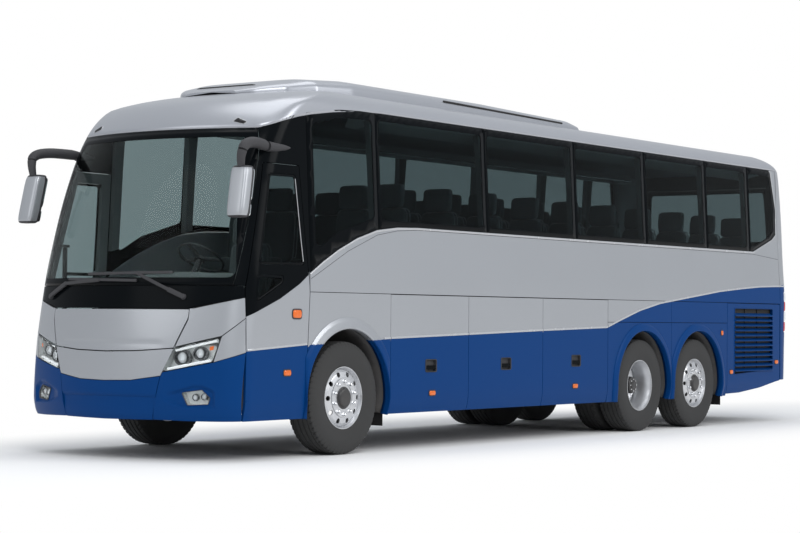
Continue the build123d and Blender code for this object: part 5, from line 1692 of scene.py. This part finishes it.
def disc_mesh(centre_x, centre_y, profile_out, profile_in, hole_radius, hole_size=0.0235, holes=10, count=240,
              side=1):
    """A wheel disc with hand holes: two skins of one polar grid, without the cells inside the holes.

    The hole edges are bridged, and the grid is bent so that its lines follow each hole's edge."""
    outer_r, inner_r = profile_out[0][1], profile_out[-1][1]
    radii = np.concatenate([np.linspace(outer_r, hole_radius + hole_size, 8),
                            np.linspace(hole_radius + hole_size, hole_radius - hole_size, 13)[1:-1],
                            np.linspace(hole_radius - hole_size, inner_r, 12)])
    turn = full_turn(count)
    grid_r, grid_t = np.meshgrid(radii, turn, indexing="ij")
    near = np.round(grid_t / (2 * pi / holes)) * (2 * pi / holes)
    across = (grid_t - near) * hole_radius
    up = grid_r - hole_radius
    size = np.hypot(across, up)
    reach = hole_size * 1.6
    pull = unit((reach - np.maximum(np.abs(across), np.abs(up))) / (reach - hole_size * 0.9))
    square = np.maximum(np.abs(across), np.abs(up))
    round_it = np.where(size > 1e-9, square / np.maximum(size, 1e-9), 1)
    grid_t = near + (across * (1 + pull * (round_it - 1))) / hole_radius
    grid_r = hole_radius + up * (1 + pull * (round_it - 1))

    def level(profile):
        p = np.array(sorted(profile, key=lambda q: q[1]))
        return np.interp(grid_r, p[:, 1], p[:, 0])

    def place(x):
        return np.stack([centre_x + side * x, centre_y + grid_r * np.cos(grid_t),
                         AXLE_HEIGHT + grid_r * np.sin(grid_t)], -1)

    front, back = place(level(profile_out)), place(level(profile_in))
    rows, columns = grid_r.shape
    faces = sheet_faces(rows, columns, wrap_columns=True)
    hole = square.reshape(-1)[faces].max(1) < hole_size * 1.001
    kept = faces[~hole]
    count_points = rows * columns
    edges = np.vstack([faces[hole][:, (i, (i + 1) % 4)] for i in range(4)])
    keys = {tuple(e) for e in edges.tolist()}
    rim = np.array([e for e in edges.tolist() if (e[1], e[0]) not in keys])
    bridge = np.stack([rim[:, 0], rim[:, 1], rim[:, 1] + count_points, rim[:, 0] + count_points], 1)
    points = np.vstack([front.reshape(-1, 3), back.reshape(-1, 3)])
    all_faces = np.vstack([kept, kept[:, ::-1] + count_points, bridge])
    if side < 0:
        all_faces = all_faces[:, ::-1]
    return points, all_faces[:, ::-1], np.zeros(len(all_faces), int)


def wheel_nuts(centre_x, centre_y, face_x, radius, side, count=10):
    """Hexagon nuts with domed caps on a bolt circle."""
    out = []
    for i in range(count):
        turn = 2 * pi * (i + 0.5) / count
        hexagon = full_turn(12)
        size = np.where(np.arange(12) % 2 == 0, 0.0185, 0.0165)
        rows = []
        for x, scale in ((0.0, 1.25), (0.004, 1.25), (0.004, 1.0), (0.022, 1.0), (0.026, 0.85), (0.034, 0.55),
                         (0.036, 0.05)):
            rows.append(np.stack([np.full(12, centre_x + side * (face_x + x)),
                                  centre_y + radius * np.cos(turn) + scale * size * np.cos(hexagon),
                                  AXLE_HEIGHT + radius * np.sin(turn) + scale * size * np.sin(hexagon)], -1))
        out.append(capped(np.stack(rows), 1, flip=side > 0))
    return joined(*out)


def lathe(profile, centre_x, centre_y, side, count=96, kind=0, closed=True):
    """A profile (x from the wheel's middle, radius) turned round the axle."""
    profile = np.asarray(profile, float)
    turn = full_turn(count)
    rings = np.stack([np.broadcast_to(centre_x + side * profile[:, 0, None], (len(profile), count)),
                      centre_y + profile[:, 1, None] * np.cos(turn), AXLE_HEIGHT + profile[:, 1, None]
                      * np.sin(turn)], -1)
    return sheet(rings, kind, wrap_rows=closed, wrap_columns=True, flip=side > 0)


BARREL = ((0.130, 0.2885), (0.128, 0.2885), (0.118, 0.286), (0.108, 0.277), (0.095, 0.274), (0.040, 0.262),
          (0.000, 0.257), (-0.060, 0.262), (-0.095, 0.274), (-0.108, 0.277), (-0.118, 0.286),
          (-0.130, 0.2885), (-0.130, 0.282), (-0.112, 0.279), (-0.100, 0.268), (-0.060, 0.256),
          (0.000, 0.251), (0.040, 0.256), (0.095, 0.268), (0.112, 0.279), (0.130, 0.282))


DISC_FACE = ((0.080, 0.270), (0.096, 0.262), (0.118, 0.235), (0.127, 0.190), (0.130, 0.150), (0.130, 0.104))
DISC_BACK = ((0.072, 0.268), (0.088, 0.256), (0.108, 0.230), (0.116, 0.188), (0.119, 0.150), (0.119, 0.104))
DRIVE_FACE = ((0.066, 0.272), (0.052, 0.262), (0.030, 0.236), (0.016, 0.190), (0.014, 0.150), (0.014, 0.104))
DRIVE_BACK = ((0.052, 0.270), (0.040, 0.256), (0.018, 0.230), (0.004, 0.188), (0.002, 0.150), (0.002, 0.104))


RIM_FINISHES = ("wheel_steel", "bright_metal", "hub_black")


def opposite(profile):
    """The same profile on the other side of the wheel's middle."""
    return tuple((-x, radius) for x, radius in profile)


class COACH_OT_wheels(CoachOperator, bpy.types.Operator):
    """Tyres with grooved treads, steel disc wheels with hand holes and nuts, and hubs"""
    bl_idname = "coach.wheels"
    bl_label = "Wheels"

    def execute(self, context):
        sizes = context.scene.coach_sizes
        for side, word in ((1, "left"), (-1, "right")):
            for axle, station in (("front", 0.0), ("tag", TAG)):
                centre_y = FRONT_AXLE + station
                x = side * WHEEL_X
                body = f"wheel_{axle}_{word}"
                piece(f"tyre_{axle}_{word}_tread", tyre_mesh(x, centre_y, sizes.tread_depth), "tyre_rubber",
                      body, replaces=f"tyre_{axle}_{word}", smooth=40)
                disc = disc_mesh(x, centre_y, DISC_FACE, DISC_BACK, 0.2215, side=side)
                hub = lathe(((0.119, 0.104), (0.131, 0.104), (0.134, 0.100), (0.138, 0.092), (0.150, 0.088),
                             (0.1560, 0.080), (0.1575, 0.060), (0.1575, 0.002), (0.119, 0.002)), x, centre_y,
                            side, kind=2)
                ring = lathe(((0.130, 0.182), (0.1345, 0.180), (0.1345, 0.126), (0.130, 0.124)), x, centre_y,
                             side, kind=0, closed=False)
                wheel = joined(lathe(BARREL, x, centre_y, side), disc, hub, ring,
                               wheel_nuts(x, centre_y, 0.130, BOLT_CIRCLE, side))
                piece(f"rim_{axle}_{word}_disc", wheel, RIM_FINISHES, body,
                      replaces=f"rim_{axle}_{word}", smooth=35)
            centre_y = FRONT_AXLE + DRIVE
            body = f"wheels_drive_{word}"
            pair = joined(*[tyre_mesh(side * x, centre_y, sizes.tread_depth, 128) for x in (WHEEL_X, TWIN_X)])
            piece(f"tyres_drive_{word}_tread", pair, "tyre_rubber", body, replaces=f"tyres_drive_{word}",
                  smooth=40)
            middle = side * (WHEEL_X + TWIN_X) / 2
            parts = [lathe(BARREL, side * x, centre_y, side) for x in (WHEEL_X, TWIN_X)]
            for face, back in ((DRIVE_FACE, DRIVE_BACK), (opposite(DRIVE_BACK), opposite(DRIVE_FACE))):
                parts.append(disc_mesh(middle, centre_y, face, back, 0.2140, side=side))
            parts.append(lathe(((-0.200, 0.054), (-0.200, 0.100), (0.002, 0.104), (0.014, 0.118),
                                (0.060, 0.116), (0.066, 0.104), (0.180, 0.096), (0.205, 0.090),
                                (0.212, 0.078), (0.214, 0.054)), middle, centre_y, side, kind=2, closed=True))
            parts.append(wheel_nuts(middle, centre_y, 0.016, BOLT_CIRCLE, side))
            bolts = []
            for i in range(8):
                turn = 2 * pi * i / 8
                c = (middle + side * 0.212, centre_y + 0.066 * np.cos(turn),
                     AXLE_HEIGHT + 0.066 * np.sin(turn))
                bolts.append(tube(np.array([c, (c[0] + side * 0.008, c[1], c[2])]), 0.008, 8, kind=1))
            cap = lathe(((0.205, 0.055), (0.219, 0.050), (0.222, 0.040), (0.222, 0.002), (0.205, 0.002)),
                        middle, centre_y, side, kind=2)
            piece(f"rims_drive_{word}_disc", joined(*parts, *bolts, cap),
                  RIM_FINISHES, body, replaces=f"rims_drive_{word}",
                  smooth=35)
        return {"FINISHED"}


# --- Inside -------------------------------------------------------------------------------------------------
def padded_block(low, high, swell, corner=0.25, kind=0, rows=14, columns=28, lean=0.0):
    """A stuffed block: a rounded box whose faces crown outwards.

    Each point of a sphere grid is pushed out towards the box's faces by a power law, then the faces swell by
    the product of two cosines; lean shifts the top rearwards."""
    low, high = np.asarray(low, float), np.asarray(high, float)
    middle, half = (low + high) / 2, (high - low) / 2
    v = np.linspace(-pi / 2, pi / 2, rows)[:, None]
    u = full_turn(columns)[None]

    level = squarish(np.cos(v), corner)
    direction = np.stack([level * squarish(np.cos(u), corner), level * squarish(np.sin(u), corner),
                          squarish(np.sin(v), corner) * np.ones_like(u)], -1)
    crown = np.prod(np.cos(np.clip(direction, -1, 1) * pi / 2.4), -1, keepdims=True) ** 0.33
    points = middle + half * direction * (1 - swell * (1 - crown))
    points[..., 1] += lean * (points[..., 2] - low[2])
    return sheet(points, kind, wrap_columns=True)


def seat_pieces(x_low, x_high, station, base):
    """Two-place or one-place seat: cushion, backrest with bolsters, headrest and shell behind."""
    y = FRONT_AXLE + station
    count = 2 if x_high - x_low > 0.7 else 1
    width = (x_high - x_low) / count
    cushions, backs, piping = [], [], []
    for i in range(count):
        a, b = x_low + i * width + 0.008, x_low + (i + 1) * width - 0.008
        cushions.append(padded_block((a, y + 0.004, base + 0.300), (b, y + 0.405, base + 0.468), 0.10, 0.28))
        backs.append(padded_block((a + 0.006, y + 0.4725, base + 0.400), (b - 0.006, y + 0.560, base + 0.940),
                                  0.10, 0.28, lean=0.085, rows=18))
        backs.append(padded_block((a + 0.040, y + 0.492, base + 0.925), (b - 0.040, y + 0.572, base + 1.175),
                                  0.12, 0.30, lean=0.085, rows=14))
        turn = np.linspace(0, 2 * pi, 40)
        cx, wide = (a + b) / 2, (b - a) / 2 - 0.004
        px = cx + wide * squarish(np.cos(turn), 0.3)
        pz = base + 0.672 + 0.262 * squarish(np.sin(turn), 0.3)
        path = np.stack([px, y + 0.512 + 0.085 * (pz - base - 0.4), pz], 1)
        piping.append(tube(path, 0.0035, 6, kind=1))
        behind = path + (0, 0.049, 0)
        piping.append(tube(behind[behind[:, 2] > base + 0.45], 0.006, 6, kind=1))
    return cushions, backs, piping


class COACH_OT_seats(CoachOperator, bpy.types.Operator):
    """Passenger and driver's seats: stuffed cushions and backs, headrests, piping and legs"""
    bl_idname = "coach.seats"
    bl_label = "Seats"

    def execute(self, context):
        cushions, backs, pipes, legs = [], [], [], []
        for row in range(SEAT_ROWS):
            for x_low, x_high in ((0.250, 1.130), (-1.130, -0.250)):
                station = FIRST_ROW + row * SEAT_PITCH
                for parts, made in zip((cushions, backs, pipes), seat_pieces(x_low, x_high, station, DECK)):
                    parts += made
                y = FRONT_AXLE + FIRST_ROW + row * SEAT_PITCH
                middle = (x_low + x_high) / 2
                for x in (middle - 0.24, middle + 0.24):
                    legs.append(tube(np.array([(x, y + 0.10, 1.402), (x, y + 0.20, 1.60),
                                               (x, y + 0.22, 1.705)]), 0.022, 8))
                legs.append(prism(rectangle(x_low + 0.01, 1.66, x_high - 0.01, 1.705), 1,
                                  y + 0.02, y + 0.39))
        seats = piece("seat_cushion_set", joined(*cushions), "seat_cloth", "coach_body",
                      replaces="seat_cushions", smooth=60)
        rests = piece("seat_back_set", joined(*backs), "seat_cloth", "coach_body", replaces="seat_backs",
                      smooth=60)
        piece("seat_piping", joined(*pipes), ("seat_cloth", "seat_piping"), "coach_body", smooth=60)
        piece("seat_legs", joined(*legs), "cabin_grey", "coach_body")
        c, b, p = seat_pieces(0.330, 0.790, -1.160, 1.000)
        stem = tube(np.array([(0.560, FRONT_AXLE - 0.95, 1.002), (0.560, FRONT_AXLE - 0.95, 1.32)]), 0.07,
                    24, kind=1)
        plate = block((0.40, FRONT_AXLE - 1.12, 1.002), (0.72, FRONT_AXLE - 0.80, 1.04), 1)
        piece("driver_seat_set", joined(*c, *b, *p, stem, plate), ("seat_cloth", "cabin_grey"), "coach_body",
              replaces="driver_seat", smooth=60)
        return {"FINISHED"}


class COACH_OT_dashboard(CoachOperator, bpy.types.Operator):
    """Dashboard with a hood over the gauges, and the steering wheel on its column"""
    bl_idname = "coach.dashboard"
    bl_label = "Dashboard and steering wheel"

    def execute(self, context):
        stations = np.array([(-1.600, 1.010), (-1.500, 1.330), (-1.400, 1.420), (-1.395, 1.520),
                             (-1.430, 1.600), (-1.520, 1.640), (-1.600, 1.600), (-1.665, 1.500),
                             (-1.700, 1.200), (-1.690, 1.010)])
        rows = []
        for x in np.linspace(-0.290, 1.080, 60):
            lift = 0.9 + 0.1 * unit((x + 0.3) / 0.5)
            hood = 0.012 * np.exp(-((x - 0.56) / 0.25) ** 4)
            profile = stations.copy()
            profile[:, 1] = 1.010 + (profile[:, 1] - 1.010) * lift + hood * (profile[:, 1] > 1.5)
            limit = skin(around_from_x(np.full(len(profile), abs(x)), profile[:, 1]),
                         profile[:, 1])[:, 1] - FRONT_AXLE + 0.075
            profile[:, 0] = np.maximum(profile[:, 0], limit)
            profile[:, 0] = np.maximum(profile[:, 0], -1.70)
            rows.append(np.stack([np.full(len(profile), x), FRONT_AXLE + profile[:, 0], profile[:, 1]], 1))
        desk = capped(np.stack(rows), 0, flip=True)
        centre = np.array([0.585, FRONT_AXLE - 1.320, 1.775])
        axis = np.array([0.0, 0.55, 0.83])
        axis /= np.linalg.norm(axis)
        side = np.array([1.0, 0, 0])
        up = np.cross(axis, side)
        turn = np.linspace(0, 2 * pi, 73)
        ring = centre + 0.212 * (np.cos(turn)[:, None] * side + np.sin(turn)[:, None] * up) + axis * 0.012
        small = full_turn(12)
        radial = (np.cos(turn)[:-1, None] * side + np.sin(turn)[:-1, None] * up)
        rim = (ring[:-1, None] + 0.0115 * (np.cos(small)[None, :, None] * radial[:, None]
                                           + np.sin(small)[None, :, None] * axis))
        loop = [sheet(rim, 1, wrap_rows=True, wrap_columns=True)]
        for angle in (0.25, pi - 0.25, -pi / 2):
            end = centre + 0.205 * (np.cos(angle) * side + np.sin(angle) * up) + axis * 0.012
            t = np.linspace(0, 1, 8)[:, None]
            loop.append(tube(centre + (end - centre) * t, np.linspace(0.024, 0.012, 8), 10, kind=1))
        hub = tube(np.array([centre - axis * 0.02, centre + axis * 0.012, centre + axis * 0.018]),
                   (0.05, 0.05, 0.035), 32, kind=1)
        column = tube(np.array([centre - axis * 0.40, centre]), 0.028, 20, kind=1)
        piece("dashboard_set", joined(desk, *loop, hub, column),
              ("cabin_grey", "black_plastic", "bright_metal"), "coach_body", replaces="dashboard",
              smooth=40)
        return {"FINISHED"}


class COACH_OT_cabin_trim(CoachOperator, bpy.types.Operator):
    """Luggage racks with bright rails, and the finishes of the parts that stay as they are"""
    bl_idname = "coach.cabin_trim"
    bl_label = "Racks and carried-over parts"

    def execute(self, context):
        racks = []
        for side in (1, -1):
            profile = np.array([(1.105, 3.118), (0.860, 3.064), (0.742, 3.090), (0.730, 3.100),
                                (0.765, 3.178), (1.108, 3.196)])
            ys = np.linspace(FRONT_AXLE + 0.605, FRONT_AXLE + 8.895, 60)
            grid = np.stack([np.stack([side * profile[:, 0], np.full(len(profile), y), profile[:, 1]], 1)
                             for y in ys])
            racks.append(capped(grid, 0, flip=side > 0))
            racks.append(tube(np.stack([np.full(40, side * 0.728),
                                        np.linspace(FRONT_AXLE + 0.61, FRONT_AXLE + 8.88, 40),
                                        np.full(40, 3.100)], 1), 0.007, 8, kind=1))
        piece("luggage_rack_set", joined(*racks), ("cabin_trim", "bright_metal"), "coach_body",
              replaces="luggage_racks", bevel=0.004)
        for node, finish_name in (("floor", "floor_covering"), ("chassis_rails", "chassis_black"),
                                  ("cross_members", "chassis_black"), ("engine", "cast_iron"),
                                  ("front_axle", "chassis_black"), ("drive_axle", "chassis_black"),
                                  ("tag_axle", "chassis_black"), ("mud_flaps", "rubber_sheet"),
                                  ("knuckle_left", "cast_iron"), ("knuckle_right", "cast_iron"),
                                  ("door_arm", "chassis_black"), ("passenger_door", "cabin_grey"),
                                  ("entrance_floor", "floor_covering"), ("post_bracket", "chassis_black")):
            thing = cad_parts[node]
            thing.data.materials.clear()
            thing.data.materials.append(material_of(finish_name))
        return {"FINISHED"}


# --- Stage --------------------------------------------------------------------------------------------------
class COACH_OT_stage(CoachOperator, bpy.types.Operator):
    """Pale floor, soft studio lamps, world and the camera"""
    bl_idname = "coach.stage"
    bl_label = "Stage and camera"

    def execute(self, context):
        count = 60
        radius = np.linspace(0, 90, 40)
        turn = full_turn(count)
        grid = np.stack([radius[:, None] * np.cos(turn), radius[:, None] * np.sin(turn),
                         np.full((40, count), -0.0015)], -1)
        points, faces = joined(sheet(grid[1:], wrap_columns=True), fan(grid[1]))[:2]
        data = bpy.data.meshes.new("studio_floor")
        data.from_pydata(points.tolist(), [], [f[:3] if f[3] < 0 else f for f in faces.tolist()])
        data.update()
        data.materials.append(floor_finish())
        floor = bpy.data.objects.new("studio_floor", data)
        bpy.context.scene.collection.objects.link(floor)
        for name, spot, aim, size, power in (
            ("key_lamp", (15.0, -15.0, 15.0), (0, 0, 1.5), 12.0, 1900.0),
            ("side_lamp", (20.0, 6.0, 11.0), (0, 1.0, 1.5), 12.0, 1500.0),
            ("front_lamp", (-6.0, -24.0, 12.0), (0, -4.0, 1.5), 14.0, 700.0),
            ("top_lamp", (0.0, 0.0, 16.0), (0, 0, 0), 14.0, 900.0),
        ):
            lamp = bpy.data.lights.new(name, "AREA")
            lamp.shape, lamp.size, lamp.energy = "DISK", size, power
            thing = bpy.data.objects.new(name, lamp)
            bpy.context.scene.collection.objects.link(thing)
            thing.location = spot
            thing.rotation_euler = (Vector(aim) - Vector(spot)).to_track_quat("-Z", "Y").to_euler()
        world = bpy.data.worlds.new("studio_world")
        world.use_nodes = True
        tree = world.node_tree
        tree.nodes.clear()
        path = tree.nodes.new("ShaderNodeLightPath")
        seen = maths_of(tree, "MAXIMUM", path.outputs["Is Camera Ray"], path.outputs["Is Transmission Ray"])
        soft = node_of(tree, "Background", {"Color": (0.86, 0.90, 0.95, 1), "Strength": 0.62})
        white = node_of(tree, "Background", {"Color": (1, 1, 1, 1), "Strength": 1.0})
        out = tree.nodes.new("ShaderNodeOutputWorld")
        tree.links.new(mixed_shader(tree, seen, soft, white), out.inputs[0])
        bpy.context.scene.world = world
        camera = bpy.data.cameras.new("camera")
        camera.lens, camera.sensor_width = 93.96, 36.0
        camera.clip_end = 300.0
        yaw, pitch, roll = 0.6171, 0.0255, 0.0086      # radians, fitted to the photo
        d = np.array([-sin(yaw) * cos(pitch), cos(yaw) * cos(pitch), sin(pitch)])
        r = np.cross(d, (0, 0, 1))
        r /= np.linalg.norm(r)
        u = np.cross(r, d)
        right = r * cos(roll) + u * sin(roll)
        upward = -r * sin(roll) + u * cos(roll)
        thing = bpy.data.objects.new("camera", camera)
        bpy.context.scene.collection.objects.link(thing)
        thing.matrix_world = Matrix(((right[0], upward[0], -d[0], 12.775),
                                     (right[1], upward[1], -d[1], -19.321),
                                     (right[2], upward[2], -d[2], 1.2465), (0, 0, 0, 1)))
        bpy.context.scene.camera = thing
        bpy.context.scene.view_settings.view_transform = "Standard"
        return {"FINISHED"}


def floor_finish():
    """White where the camera or a reflection sees it lit, and darker where the coach shades it."""
    material = bpy.data.materials.new("studio_floor")
    material.use_nodes = True
    tree = material.node_tree
    shader = tree.nodes["Principled BSDF"]
    speckle = node_of(tree, "TexNoise", {"Scale": 3.0, "Detail": 2.0}).outputs["Fac"]
    colour = blend_of(tree, speckle, (0.86, 0.86, 0.86, 1), (0.90, 0.90, 0.90, 1))
    tree.links.new(colour, shader.inputs["Base Color"])
    shader.inputs["Roughness"].default_value = 0.9
    shader.inputs["Specular IOR Level"].default_value = 0.1
    away = node_of(tree, "VectorMath", {0: object_place(tree), 1: (0.45, 0.11, 1.0)},
                   operation="MULTIPLY").outputs[0]
    reach = node_of(tree, "VectorMath", {0: away}, operation="LENGTH").outputs["Value"]
    fade = node_of(tree, "MapRange", {"Value": reach, "From Min": 0.75, "From Max": 1.6},
                   interpolation_type="SMOOTHSTEP")
    white = node_of(tree, "Emission", {"Color": (1, 1, 1, 1), "Strength": 1.0})
    shown = mixed_shader(tree, fade.outputs["Result"], shader, white)
    tree.links.new(shown, tree.nodes["Material Output"].inputs[0])
    return material


# --- Panel in the sidebar and registration ------------------------------------------------------------------
OPERATORS = (COACH_OT_side_panels, COACH_OT_seam_backing, COACH_OT_wheel_flares, COACH_OT_side_glazing,
             COACH_OT_mouldings, COACH_OT_windscreen, COACH_OT_front_mask, COACH_OT_front_flap,
             COACH_OT_front_lamps, COACH_OT_wipers, COACH_OT_mirrors, COACH_OT_front_doors,
             COACH_OT_luggage_doors, COACH_OT_side_markers, COACH_OT_engine_doors, COACH_OT_roof,
             COACH_OT_roof_pod, COACH_OT_rear, COACH_OT_wheels, COACH_OT_seats, COACH_OT_dashboard,
             COACH_OT_cabin_trim, COACH_OT_stage)


class COACH_PT_sidebar(bpy.types.Panel):
    """Sizes, colours and the operators, in the order in which they run"""
    bl_idname = "COACH_PT_sidebar"
    bl_label = "Coach"
    bl_space_type = "VIEW_3D"
    bl_region_type = "UI"
    bl_category = "Coach"

    def draw(self, context):
        for group in (context.scene.coach_sizes, context.scene.coach_colours):
            for key in group.__annotations__:
                self.layout.prop(group, key)
        for operator in OPERATORS:
            self.layout.operator(operator.bl_idname)


CLASSES = (CoachSizes, CoachColours, *OPERATORS, COACH_PT_sidebar)


def register():
    for cls in CLASSES:
        bpy.utils.register_class(cls)
    bpy.types.Scene.coach_sizes = bpy.props.PointerProperty(type=CoachSizes)
    bpy.types.Scene.coach_colours = bpy.props.PointerProperty(type=CoachColours)


def unregister():
    del bpy.types.Scene.coach_colours
    del bpy.types.Scene.coach_sizes
    for cls in reversed(CLASSES):
        bpy.utils.unregister_class(cls)


def main():
    register()
    for operator in OPERATORS:
        group, name = operator.bl_idname.split(".")
        result = getattr(getattr(bpy.ops, group), name)()
        if result != {"FINISHED"}:
            raise RuntimeError(operator.bl_idname + " did not finish")


if __name__ == "__main__":
    main()
